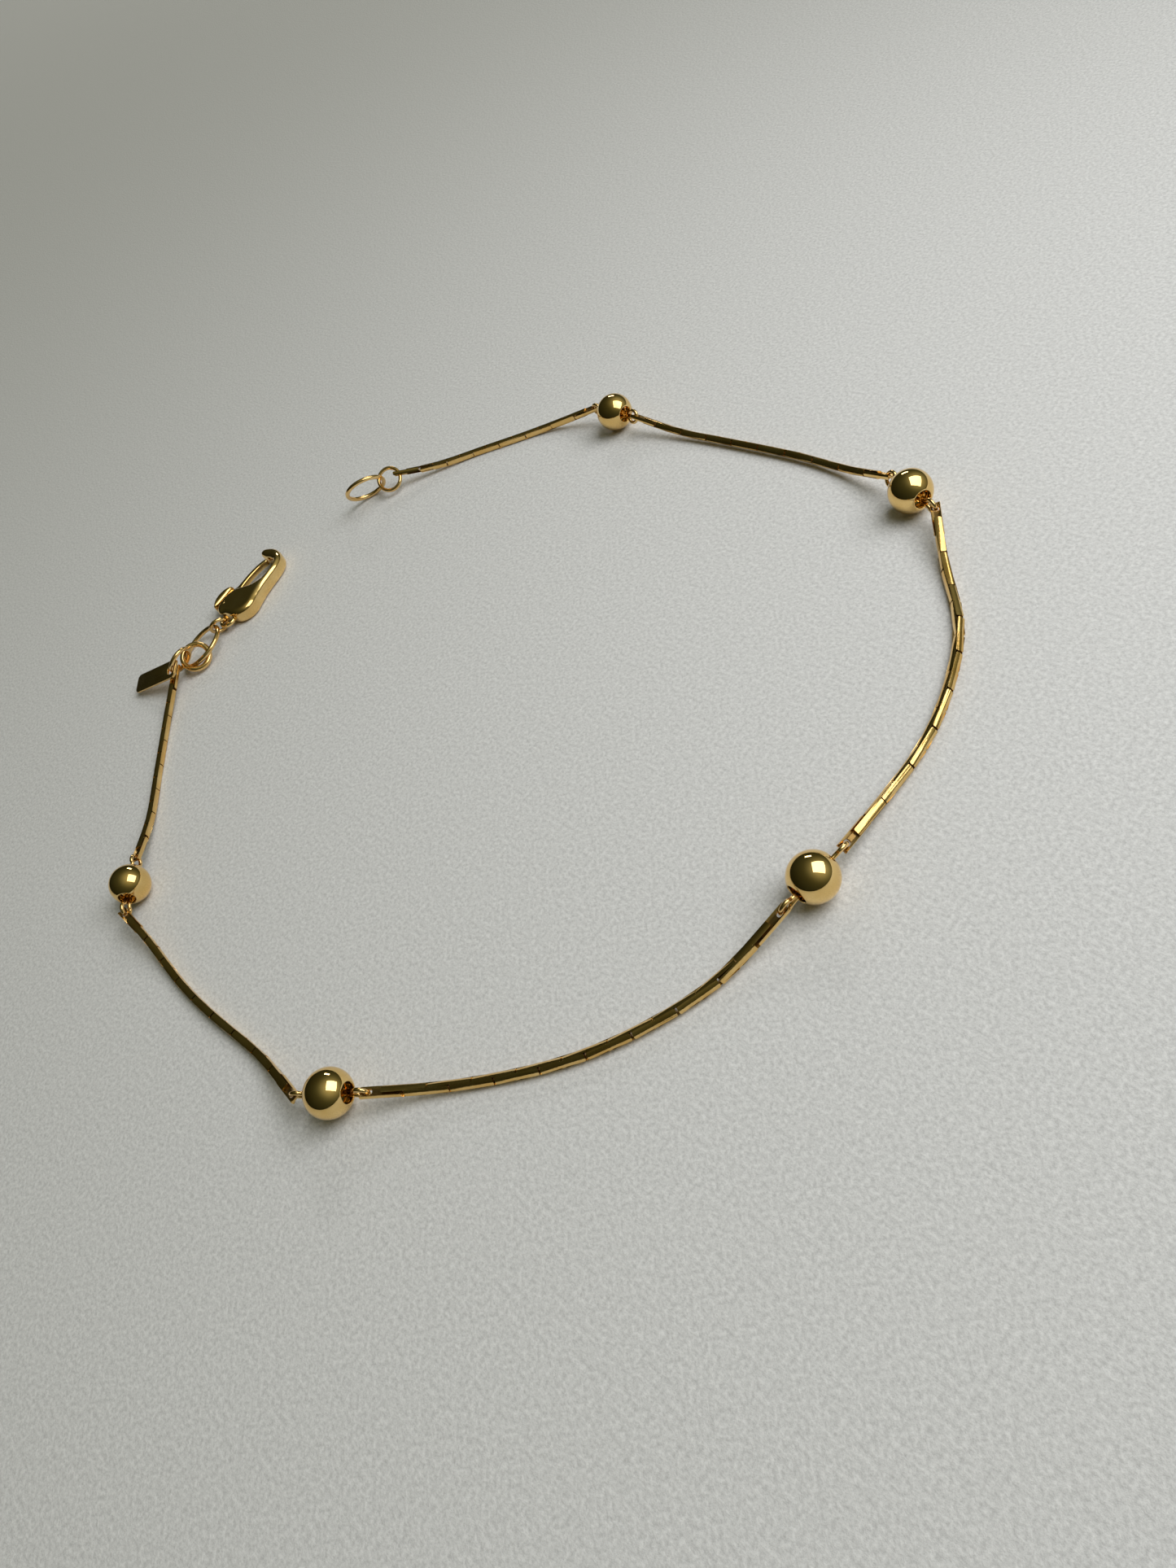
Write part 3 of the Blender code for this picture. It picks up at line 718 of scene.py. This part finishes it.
def natural_cubic(knots, values, wanted):
    """A smooth curve through the values at the knots, with free ends."""
    count = len(knots)
    gaps = np.diff(knots)
    system = np.eye(count)
    slopes = np.zeros((count, values.shape[1]))
    for i in range(1, count - 1):
        system[i, i - 1:i + 2] = (gaps[i - 1], 2 * (gaps[i - 1] + gaps[i]), gaps[i])
        slopes[i] = 6 * ((values[i + 1] - values[i]) / gaps[i]
                         - (values[i] - values[i - 1]) / gaps[i - 1])
    bends = np.linalg.solve(system, slopes)
    spans = np.clip(np.searchsorted(knots, wanted, side="right") - 1, 0, count - 2)
    gap = gaps[spans][:, None]
    after = (wanted - knots[spans])[:, None]
    before = gap - after
    return (bends[spans] * before ** 3 / (6 * gap) + bends[spans + 1] * after ** 3 / (6 * gap)
            + (values[spans] / gap - bends[spans] * gap / 6) * before
            + (values[spans + 1] / gap - bends[spans + 1] * gap / 6) * after)


class Route:
    """A way through points (x, y, z, roll) that can be read at any distance along it."""

    def __init__(self, rows):
        rows = np.array(rows, dtype=float)
        steps = np.linalg.norm(np.diff(rows[:, :3], axis=0), axis=1)
        knots = np.concatenate([[0.0], np.cumsum(steps)])
        fine = np.linspace(0.0, knots[-1], PATH_STEPS * (len(rows) - 1) + 1)
        self.points = natural_cubic(knots, rows[:, :3], fine)
        self.rolls = np.interp(fine, knots, rows[:, 3])
        turn = np.radians(np.abs(self.rolls))
        lowest = SECTION_HALF * np.cos(turn) + PLATE_HALF * np.sin(turn) + FLOOR_PLAY
        self.points[:, 2] = np.maximum(self.points[:, 2], lowest)
        runs = np.linalg.norm(np.diff(self.points, axis=0), axis=1)
        self.along = np.concatenate([[0.0], np.cumsum(runs)])
        self.length = self.along[-1]

    def point(self, distance):
        return Vector([np.interp(distance, self.along, self.points[:, k]) for k in range(3)])

    def frame(self, distance):
        """A link's middle, its way forward, its side and its upper face at a distance."""
        near = self.point(distance - FRAME_REACH)
        far = self.point(distance + FRAME_REACH)
        forward = (far - near).normalized()
        level = UP.cross(forward).normalized()
        roll = math.radians(np.interp(distance, self.along, self.rolls))
        side = Matrix.Rotation(roll, 3, forward) @ level
        return (near + far) / 2, forward, side, forward.cross(side)


# %% Hang a chain on its wires
RING_ENDS = {
    # chain: the ring it ends on, and the clock angle there in degrees
    "chain_1": ("jump_ring_1", -38),
    "chain_6": ("end_ring_1", 5),
}


def hung_rows(place, along, wire, neighbour):
    """Two route rows from a wire to a little past it, and how far the chain reaches past it."""
    forward = (place - neighbour).normalized()
    side = forward.cross(along).normalized()
    level = UP.cross(forward).normalized()
    roll = math.degrees(math.atan2(side.dot(forward.cross(level)), side.dot(level)))
    roll -= 180 * round(roll / 180)
    lean = abs(along.dot(forward))
    upright = math.sqrt(1 - lean * lean)
    reach = (wire + BAR_GAP) / upright + END_CORE * lean / upright + EYE_BAR
    return [(*place, roll), (*(place + forward * LEAD), roll)], reach


def turned_over(rows):
    """The same rows for a route that runs the other way."""
    return [(*row[:3], -row[3]) for row in rows]


def bead_wire(bead, sign):
    """Where a chain hangs on a bead's eye: the wire's middle, direction and radius."""
    centre, away, across = bead_end(bead, sign)
    return centre + away * EYE_RADIUS, across, CONNECTOR_WIRE


def chain_ends(name):
    """The two wires that a chain hangs on."""
    number = int(name.split("_")[1])
    first = bead_wire(BEADS[0], -1) if number == 1 else bead_wire(BEADS[number - 2], 1)
    if name in RING_ENDS:
        ring_name, clock = RING_ENDS[name]
        place, _, along = ring_point(RINGS[ring_name], clock)
        return first, (place, along, RINGS[ring_name].wire * MM)
    return first, bead_wire(BEADS[number - 1], -1)


# %% Join the links of one length
rng = np.random.default_rng(11)


def placed(place, forward, side, up):
    """A matrix whose x, y and z axes are forward, side and up."""
    return Matrix.Translation(place) @ Matrix((forward, side, up)).transposed().to_4x4()


def chain_mesh(name, route, start, end, count, eyes):
    """All links of one length, laid along its route in one mesh."""
    pitch = (end - start - LINK_LENGTH) / (count - 1)
    middle = middle_link(pitch)
    first, last = (end_link(wire, reach) for wire, reach in eyes)
    work = bmesh.new()
    for i in range(count):
        place, forward, side, up = route.frame(start + HALF_LINK + i * pitch)
        source = middle
        if i % 2:
            side, up = up, -side
        if i == 0:
            source = first
        if i == count - 1:
            source = last
            forward, side = -forward, -side
        copy = source.copy()
        copy.transform(placed(place, forward, side, up))
        tones = np.full(len(copy.vertices), rng.random(), dtype=np.float32)
        copy.attributes["tone"].data.foreach_set("value", tones)
        work.from_mesh(copy)
        bpy.data.meshes.remove(copy)
    mesh = bpy.data.meshes.new(name)
    work.to_mesh(mesh)
    work.free()
    smooth(mesh, crease=30)
    return mesh


# %% Lay the six lengths
INNER_LINKS = 19
END_LINKS = 15
ROUTES = {
    # x, y and z in mm, and roll in degrees
    "chain_1": [(16.7, 22.7, 0.70, 0), (20.3, 20.3, 0.31, 0), (23.7, 17.7, 0.30, 0),
                (26.0, 15.8, 0.40, 0)],
    "chain_2": [(6.4, 28.4, 0.81, 0), (2.5, 28.7, 0.31, 0), (-1.5, 28.7, 0.30, 0),
                (-5.4, 28.4, 0.30, 0), (-9.4, 28.0, 0.36, 0)],
    "chain_3": [(-21.6, 22.3, 0.62, -35), (-24.8, 19.2, 0.38, -35), (-27.7, 15.9, 0.38, -35),
                (-30.0, 12.1, 0.38, -35), (-31.6, 8.0, 0.45, -30)],
    "chain_4": [(-32.8, -5.3, 0.65, 54), (-32.5, -10.0, 0.38, 54), (-31.3, -14.4, 0.38, 54),
                (-29.4, -18.2, 0.37, 40), (-26.3, -21.7, 0.48, 25)],
    "chain_5": [(-14.5, -27.8, 0.61, 45), (-10.3, -28.2, 0.41, 45), (-6.0, -28.2, 0.40, 45),
                (-1.8, -28.1, 0.40, 45), (2.4, -27.9, 0.58, 45)],
    "chain_6": [(16.2, -25.4, 0.42, 0), (19.1, -23.0, 0.30, 0), (22.0, -20.5, 0.30, 0),
                (24.4, -17.9, 0.55, 0)],
}
for name, rows in ROUTES.items():
    first_wire, last_wire = chain_ends(name)
    points = [(*(Vector(row[:3]) * MM), row[3]) for row in rows]
    first, before = hung_rows(*first_wire, Vector(points[0][:3]))
    last, behind = hung_rows(*last_wire, Vector(points[-1][:3]))
    route = Route(turned_over(first)[::-1] + points + last)
    start = LEAD - before
    end = route.length - LEAD + behind
    count = END_LINKS if name in RING_ENDS else INNER_LINKS
    eyes = [(first_wire[2], before), (last_wire[2], behind)]
    mesh = chain_mesh(name + "_links", route, start, end, count, eyes)
    place_piece(add_object(mesh.name, mesh), name, chain_gold)
    print(f"{name}: {count} links, {count_triangles(mesh)} triangles")

# %% [markdown]
# ## Flat cast pieces
#
# The clasp's body and lever are castings: flat when seen from the side, with edges that roll over
# softly. A bevel on such an outline runs into itself where the arm is thin. So the face is filled
# with triangles instead, and each point is lifted by how far it lies from the edge: steep at the
# rim, level in the middle. Both faces are made this way and joined round the rim.

# %% Measure from a rim
def rim_distance(points, rim):
    """How far each point lies from the nearest stretch of the rim."""
    best = np.full(len(points), np.inf)
    for start, end in zip(rim, np.roll(rim, -1, axis=0)):
        step = end - start
        share = np.clip(((points - start) @ step) / (step @ step), 0.0, 1.0)
        nearest = start + share[:, None] * step
        best = np.minimum(best, np.linalg.norm(points - nearest, axis=1))
    return best


def inside(points, rim):
    """Which points lie inside: a level ray from them crosses the rim an odd number of times."""
    crossings = np.zeros(len(points), dtype=int)
    for start, end in zip(rim, np.roll(rim, -1, axis=0)):
        spans = (start[1] > points[:, 1]) != (end[1] > points[:, 1])
        with np.errstate(divide="ignore", invalid="ignore"):
            rise = (points[:, 1] - start[1]) / (end[1] - start[1])
            crossings += spans & (points[:, 0] < start[0] + rise * (end[0] - start[0]))
    return crossings % 2 == 1


# %% Fill and lift a face
EDGE_ROWS = (0.04, 0.12, 0.24, 0.40, 0.60, 0.82, 1.0)
ROW_SLACK = 0.97
GRID_CLEARANCE = 1.08
ON_RIM = 1e-4
INSIDE_ONLY = 1
SAME_POINT = 1e-6


def fill_points(rim, edge, spacing):
    """The rim, rows of points where the edge rolls over, and a grid over the middle."""
    ahead = np.roll(rim, -1, axis=0)
    tangent = ahead - np.roll(rim, 1, axis=0)
    tangent /= np.linalg.norm(tangent, axis=1)[:, None]
    turning = np.sign(np.sum(rim[:, 0] * ahead[:, 1] - ahead[:, 0] * rim[:, 1]))
    inward = np.column_stack((-tangent[:, 1], tangent[:, 0])) * turning
    groups = [rim]
    for share in EDGE_ROWS:
        row = rim + inward * edge * share
        groups.append(row[inside(row, rim) & (rim_distance(row, rim) > ROW_SLACK * edge * share)])
    low, high = rim.min(axis=0), rim.max(axis=0)
    grid = np.array([(x, y) for x in np.arange(low[0], high[0], spacing)
                     for y in np.arange(low[1], high[1], spacing)])
    groups.append(grid[inside(grid, rim) & (rim_distance(grid, rim) > edge * GRID_CLEARANCE)])
    return np.vstack(groups)


def cushion(name, outline, half_thick, edge, spacing):
    """A closed piece over an outline, its two faces rolling down to the rim over edge."""
    rim = np.array([(p.x, p.y) for p in outline])
    seeds = [Vector(p) for p in fill_points(rim, edge, spacing) / MM]
    filled = delaunay_2d_cdt(seeds, [], [list(range(len(rim)))], INSIDE_ONLY, SAME_POINT)
    triangles = filled[2]
    flat = np.array([(v.x, v.y) for v in filled[0]]) * MM
    depth = np.minimum(rim_distance(flat, rim) / edge, 1.0)
    height = half_thick - edge + edge * np.sqrt(np.maximum(1 - (1 - depth) ** 2, 0.0))
    total = len(flat)
    points = [(x, y, side * z) for side in (1, -1) for (x, y), z in zip(flat, height)]
    faces = [tuple(face) for face in triangles]
    faces += [tuple(i + total for i in reversed(face)) for face in triangles]
    sides = dict.fromkeys(pair for face in triangles for pair in zip(face, [*face[1:], face[0]]))
    for a, b in sides:
        if (b, a) not in sides and depth[a] < ON_RIM and depth[b] < ON_RIM:
            faces.append((b, a, a + total, b + total))
    return closed_mesh(name, points, faces)


def smooth_outline(table, steps, centre=(0.0, 0.0)):
    """A table of (x, y) points in mm as a smooth closed line about a centre."""
    corners = [Vector(((x - centre[0]) * MM, (y - centre[1]) * MM, 0.0)) for x, y in table]
    return closed_curve(corners, steps)


# %% [markdown]
# ## The clasp
#
# A lobster clasp has a body like a claw, with an eye at its tail, and a lever that closes it. The
# lever turns on a pin through the body and has a pad for the thumb. A sculpted clasp could follow
# every swelling, but a casting this flat is told by its outline, so outlines are drawn in
# millimetres from the tail eye, as a maker would before carving the wax. Then the body gets a slot
# for the lever and a hole for the pin.

# %% Draw the clasp
CLASP_PLACE = (30.53 * MM, 5.21 * MM)
CLASP_TURN = math.radians(-78.9)
CLASP_THICK = 1.5 * MM
PIVOT = (1.3, 1.5)
BODY_OUTLINE = [
    # x mm, y mm, from the tail eye round the outside to the nose and back
    (0.35, -0.5), (0.55, -1.25), (1.2, -1.85), (2.1, -2.0), (3.0, -1.75), (4.2, -1.45),
    (5.5, -1.3), (6.7, -1.15), (7.7, -0.7), (8.3, 0.1), (8.5, 1.1), (8.2, 2.1), (7.6, 2.2),
    (7.42, 1.6), (7.4, 0.9), (7.28, 0.3), (7.1, -0.15), (6.6, -0.5), (5.8, -0.62),
    (4.8, -0.5), (4.1, 0.0), (3.7, 0.7), (3.3, 1.4), (2.7, 1.9), (1.9, 2.1), (1.1, 2.05),
    (0.5, 1.7), (0.2, 1.1), (0.35, 0.5),
]
SLOT_OUTLINE = [(-0.2, 0.25), (1.3, 0.5), (2.6, 0.72), (4.6, 0.72), (4.6, 3.6), (-0.2, 3.6)]
LEVER_OUTLINE = [
    (0.75, 1.5), (0.85, 1.05), (1.3, 0.9), (1.9, 1.0), (2.8, 1.3), (4.0, 1.55), (5.2, 1.6),
    (6.3, 1.45), (7.15, 1.15), (7.25, 1.5), (6.5, 1.85), (5.3, 2.05), (4.1, 2.05),
    (3.45, 2.15), (3.0, 2.75), (2.2, 3.05), (1.5, 2.75), (1.0, 2.1),
]
THUMB_OUTLINE = [
    (0.9, 2.4), (3.2, 2.4), (3.25, 2.7), (2.85, 3.05), (2.2, 3.2), (1.5, 3.1), (0.95, 2.75),
]
clasp_frame = (Matrix.Translation((*CLASP_PLACE, CLASP_THICK / 2))
               @ Matrix.Rotation(CLASP_TURN, 4, "Z"))
to_pivot = Matrix.Translation((PIVOT[0] * MM, PIVOT[1] * MM, 0.0))
pivot_frame = clasp_frame @ to_pivot
print("the lever's pin stands at", [round(x / MM, 2) for x in pivot_frame.translation], "mm")

# %% Cast the body
CAST_CREASE = 45
BODY_EDGE = 0.5 * MM
BODY_STEPS = 8
LEVER_SLOT = 0.72 * MM
TAIL_RADIUS = 0.66 * MM
TAIL_WIRE = 0.2 * MM
TAIL_STEPS = 72
PIN_RADIUS = 0.25 * MM
PIN_PLAY = 0.04 * MM
HOLE_STEPS = 48


def circle(radius, steps):
    turns = np.linspace(0.0, 2 * math.pi, steps, endpoint=False)
    return [(radius * math.cos(t), radius * math.sin(t)) for t in turns]


def disc(name, radius, depth):
    return prism(name, circle(radius, HOLE_STEPS), depth)


body_mesh = cushion("clasp_body_cast", smooth_outline(BODY_OUTLINE, BODY_STEPS), CLASP_THICK / 2,
                    BODY_EDGE, spacing=0.2 * MM)
body = add_object("clasp_body_cast", body_mesh)
tail_line = [(x, y, 0.0) for x, y in circle(TAIL_RADIUS, TAIL_STEPS)]
cut(body, wire_mesh("tail_eye", tail_line, TAIL_WIRE), "UNION")
cut(body, prism("lever_slot", [(x * MM, y * MM) for x, y in SLOT_OUTLINE], LEVER_SLOT))
pin_hole = disc("pin_hole", PIN_RADIUS + PIN_PLAY, 2 * CLASP_THICK)
pin_hole.transform(to_pivot)
cut(body, pin_hole)
smooth(body.data, CAST_CREASE)
place_piece(body, "clasp_body", clasp_gold, matrix=clasp_frame)
print(f"clasp body, {count_triangles(body.data)} triangles")

# %% Cast the lever
LEVER_THICK = 0.6 * MM
LEVER_EDGE = 0.14 * MM
LEVER_STEPS = 8
THUMB_THICK = 1.3 * MM
THUMB_EDGE = 0.3 * MM
THUMB_STEPS = 6
LEVER_SPACING = 0.15 * MM
lever_mesh = cushion("clasp_lever_cast", smooth_outline(LEVER_OUTLINE, LEVER_STEPS, PIVOT),
                     LEVER_THICK / 2, LEVER_EDGE, LEVER_SPACING)
lever = add_object("clasp_lever_cast", lever_mesh)
cut(lever, disc("lever_hole", PIN_RADIUS + PIN_PLAY, 2 * CLASP_THICK))
thumb = cushion("lever_thumb", smooth_outline(THUMB_OUTLINE, THUMB_STEPS, PIVOT),
                THUMB_THICK / 2, THUMB_EDGE, LEVER_SPACING)
cut(lever, thumb, "UNION")
smooth(lever.data, CAST_CREASE)
place_piece(lever, "clasp_lever", clasp_gold, "lever", pivot_frame)
print(f"lever, {count_triangles(lever.data)} triangles")

# %% [markdown]
# ## The pin
#
# The pin is a snip of wire whose ends were tapped round, level with the body. A cylinder with a
# bevel would do; since the beads are turned from a profile, the pin is too, and the points that
# meet on its axis are welded.

# %% Turn the pin
PIN_ROUND = 0.06 * MM
PIN_ROUND_POINTS = 6
PIN_STEPS = 48
PIN_WELD = 0.0005 * MM
pin_half = CLASP_THICK / 2
dome = [(PIN_RADIUS - PIN_ROUND * (1 - math.cos(t)), pin_half - PIN_ROUND * (1 - math.sin(t)))
        for t in np.linspace(0.0, math.pi / 2, PIN_ROUND_POINTS)]
pin_profile = [(0.0, pin_half)] + dome[::-1] + [(r, -z) for r, z in dome] + [(0.0, -pin_half)]
pin_mesh = turned_mesh("clasp_pin_wire", pin_profile, PIN_STEPS, PIN_WELD)
smooth(pin_mesh)
place_piece(add_object("clasp_pin_wire", pin_mesh), "clasp_pin", wire_gold, matrix=pivot_frame)
print(f"pin, {count_triangles(pin_mesh)} triangles")

# %% [markdown]
# ## The tag
#
# The tag is a strip of sheet with round corners and a hole, hung on the jump ring by the chain. A
# flat curve could be given a thickness, but a prism takes the hole and a fine bevel as the links
# do. It leans from the ring to the table, so its frame starts at the ring's wire.

# %% Make the tag
def direction(azimuth, elevation):
    """A way out from the bracelet's middle, its angles in degrees."""
    turn = math.radians(azimuth)
    rise = math.radians(elevation)
    level = math.cos(rise)
    return Vector((level * math.cos(turn), level * math.sin(turn), math.sin(rise)))


TAG_THICK = 0.22 * MM
TAG_LENGTH = 6.1 * MM
TAG_WIDTH = 1.8 * MM
TAG_CORNER = 0.45 * MM
TAG_CORNER_STEPS = 8
TAG_BEVEL = 0.04 * MM
TAG_HOLE = 0.5 * MM
TAG_HOLE_INSET = 0.66 * MM
TAG_CLOCK = 5
TAG_HEADING = 31
TAG_SLOPE = 13.5
TAG_ROLL = -16
tag_outline = rounded_box((-TAG_HOLE_INSET, -TAG_WIDTH / 2),
                          (TAG_LENGTH - TAG_HOLE_INSET, TAG_WIDTH / 2),
                          TAG_CORNER, TAG_CORNER_STEPS)
tag = add_object("tag_sheet", prism("tag_sheet", tag_outline, TAG_THICK))
cut(tag, disc("tag_hole", TAG_HOLE, 4 * TAG_THICK))
break_edges(tag, TAG_BEVEL, segments=3, sharper_than=60)
smooth(tag.data, CAST_CREASE)
hook = ring_point(RINGS["jump_ring_1"], TAG_CLOCK)[0]
outward = direction(TAG_HEADING, -TAG_SLOPE)
across = Matrix.Rotation(math.radians(TAG_ROLL), 3, outward) @ UP.cross(outward).normalized()
tag_frame = placed(hook, outward, across, outward.cross(across))
place_piece(tag, "tag", tag_gold, matrix=tag_frame)
print(f"tag, {count_triangles(tag.data)} triangles")

# %% [markdown]
# ## The table
#
# Gold shows its surroundings, so the table is part of its look: it fills the lower part of each
# bead with a pale crescent. One large square is enough, because it has no edge in view. Its fine
# speckle, like matt card, comes from noise, and is a bump as well, which the low light brings out.

# %% Make the table
SPECKLE_CONTRAST = 3.0
DARK_SPECKLE = (0.60, 0.60, 0.60)
PALE_SPECKLE = (0.84, 0.84, 0.84)
TABLE_HALF = 2.0
TABLE_TOP = -0.01 * MM
table = Finish("table", metallic=0.0)
grain = noise(table, per_mm=4.0, detail=4.0, roughness=0.7)
table.set(
    Base_Color=mix_colour(table, grain.spread(SPECKLE_CONTRAST), DARK_SPECKLE, PALE_SPECKLE),
    Roughness=0.75,
    Normal=table.node("ShaderNodeBump", {}, Strength=0.35, Distance=0.12 * MM, Height=grain),
)
table_corners = [(x * TABLE_HALF, y * TABLE_HALF, TABLE_TOP)
                 for x, y in ((-1, -1), (1, -1), (1, 1), (-1, 1))]
table_mesh = bpy.data.meshes.new("table")
table_mesh.from_pydata(table_corners, [], [(0, 1, 2, 3)])
table_mesh.materials.append(table.material)
table_top = add_object("table", table_mesh)
table_top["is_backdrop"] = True
print(f"table {2 * TABLE_HALF} m across")

# %% [markdown]
# ## Light
#
# Light on polished metal is seen twice: as light on the table, and as shapes in the gold. A square
# soft light close by, 15 cm away, stands in for the window: it makes the large bright spot in each
# bead and the soft shadows. Alone it would leave the far side of the table dark, so a far light
# fills in, and it is hidden from reflections. A small low light gives each bead its second spark.

# %% Set the lights
def add_light(name, kind, way, distance, power, colour, **shape):
    """A lamp at a distance from the bracelet, facing it."""
    lamp = bpy.data.lights.new(name, kind)
    lamp.energy = power
    lamp.color = colour
    for key, value in shape.items():
        setattr(lamp, key, value)
    made = add_object(name, lamp)
    made.location = way * distance
    made.rotation_mode = "QUATERNION"
    made.rotation_quaternion = way.to_track_quat("Z", "Y")
    return made


add_light("window", "AREA", direction(-134, 49), distance=0.15, power=0.122,
          colour=(0.965, 0.97, 1.0), shape="RECTANGLE", size=0.125, size_y=0.125)
fill = add_light("fill", "SUN", direction(-127, 50), distance=1.0, power=0.76,
                 colour=(0.97, 0.975, 1.0), angle=math.radians(50))
fill.visible_glossy = False
add_light("low_spark", "AREA", direction(-46, 26), distance=0.90, power=0.72,
          colour=(1.0, 0.98, 0.95), shape="RECTANGLE", size=0.27, size_y=0.105)
print(len(bpy.data.lights), "soft lights")

# %% [markdown]
# ## The room
#
# Above the table the room stays dim and a little green, and that is what makes polished gold look
# deep and not like yellow paint. It brightens slowly on the window's side, and glows round the
# window itself. Walls could be modelled, but in a 3 mm bead they are only soft shades, so the
# world's colour is painted by direction.

# %% Paint the room
GLOW_WAY = direction(-132, 50)
FAR_WALL = (0.010, 0.011, 0.006)
NEAR_WALL = (0.090, 0.096, 0.050)
WALL_FALL = 2.0
WINDOW_GLOW = (0.52, 0.52, 0.37)
GLOW_FALL = 5.0
world = bpy.data.worlds.new("room")
bpy.context.scene.world = world
world.use_nodes = True
room = Nodes(world.node_tree)
looking = room.node("ShaderNodeTexCoord", {}, output="Generated")
towards = room.node("ShaderNodeVectorMath", {"operation": "DOT_PRODUCT"}, looking,
                    tuple(GLOW_WAY), output="Value")
walls = mix_colour(room, (towards * 0.5 + 0.5) ** WALL_FALL, FAR_WALL, NEAR_WALL)
glow = mix_colour(room, towards.clamped() ** GLOW_FALL, walls, WINDOW_GLOW)
room.feed(world.node_tree.nodes["Background"].inputs["Color"], glow)
print("room:", len(room.tree.nodes), "nodes")

# %% [markdown]
# ## Camera
#
# The picture is taken from close above with a wide lens, a little rolled. The camera's place,
# its heading, its downward tilt and its roll were fitted to the beads, which are all one size.
# Aiming it at a point with a constraint would be simpler, but wouldn't give the roll.

# %% Place the camera
CAMERA_PLACE = (-0.0606, 0.0186, 0.050944)
CAMERA_HEADING = -20.0
CAMERA_TILT = 46.35
CAMERA_ROLL = 34.3
SENSOR = 36.0
LENS = 24.96
NEAREST = 0.001
FARTHEST = 10.0
roll = math.radians(CAMERA_ROLL)
forward = direction(CAMERA_HEADING, -CAMERA_TILT)
level = forward.cross(UP).normalized()
upright = level.cross(forward)
right = level * math.cos(roll) - upright * math.sin(roll)
camera_data = bpy.data.cameras.new("camera")
camera_data.sensor_fit = "AUTO"
camera_data.sensor_width = SENSOR
camera_data.lens = LENS
camera_data.clip_start = NEAREST
camera_data.clip_end = FARTHEST
camera = add_object("camera", camera_data)
camera.matrix_world = placed(CAMERA_PLACE, right, right.cross(forward), -forward)
bpy.context.scene.camera = camera
bpy.context.scene.view_settings.view_transform = "Standard"
print("camera axes", [round(x, 3) for x in right], [round(x, 3) for x in forward])

# %% [markdown]
# ## Sizes
#
# The boxes of the imported model and of the dressed one are compared, and the growth of each
# corner is printed, so that any change in the bracelet's size shows.

# %% Write the sizes and finish
dressed_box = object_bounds()
for cad_corner, dressed_corner in zip(cad_box, dressed_box):
    print("growth in mm:", [round(step / MM, 3) for step in dressed_corner - cad_corner])
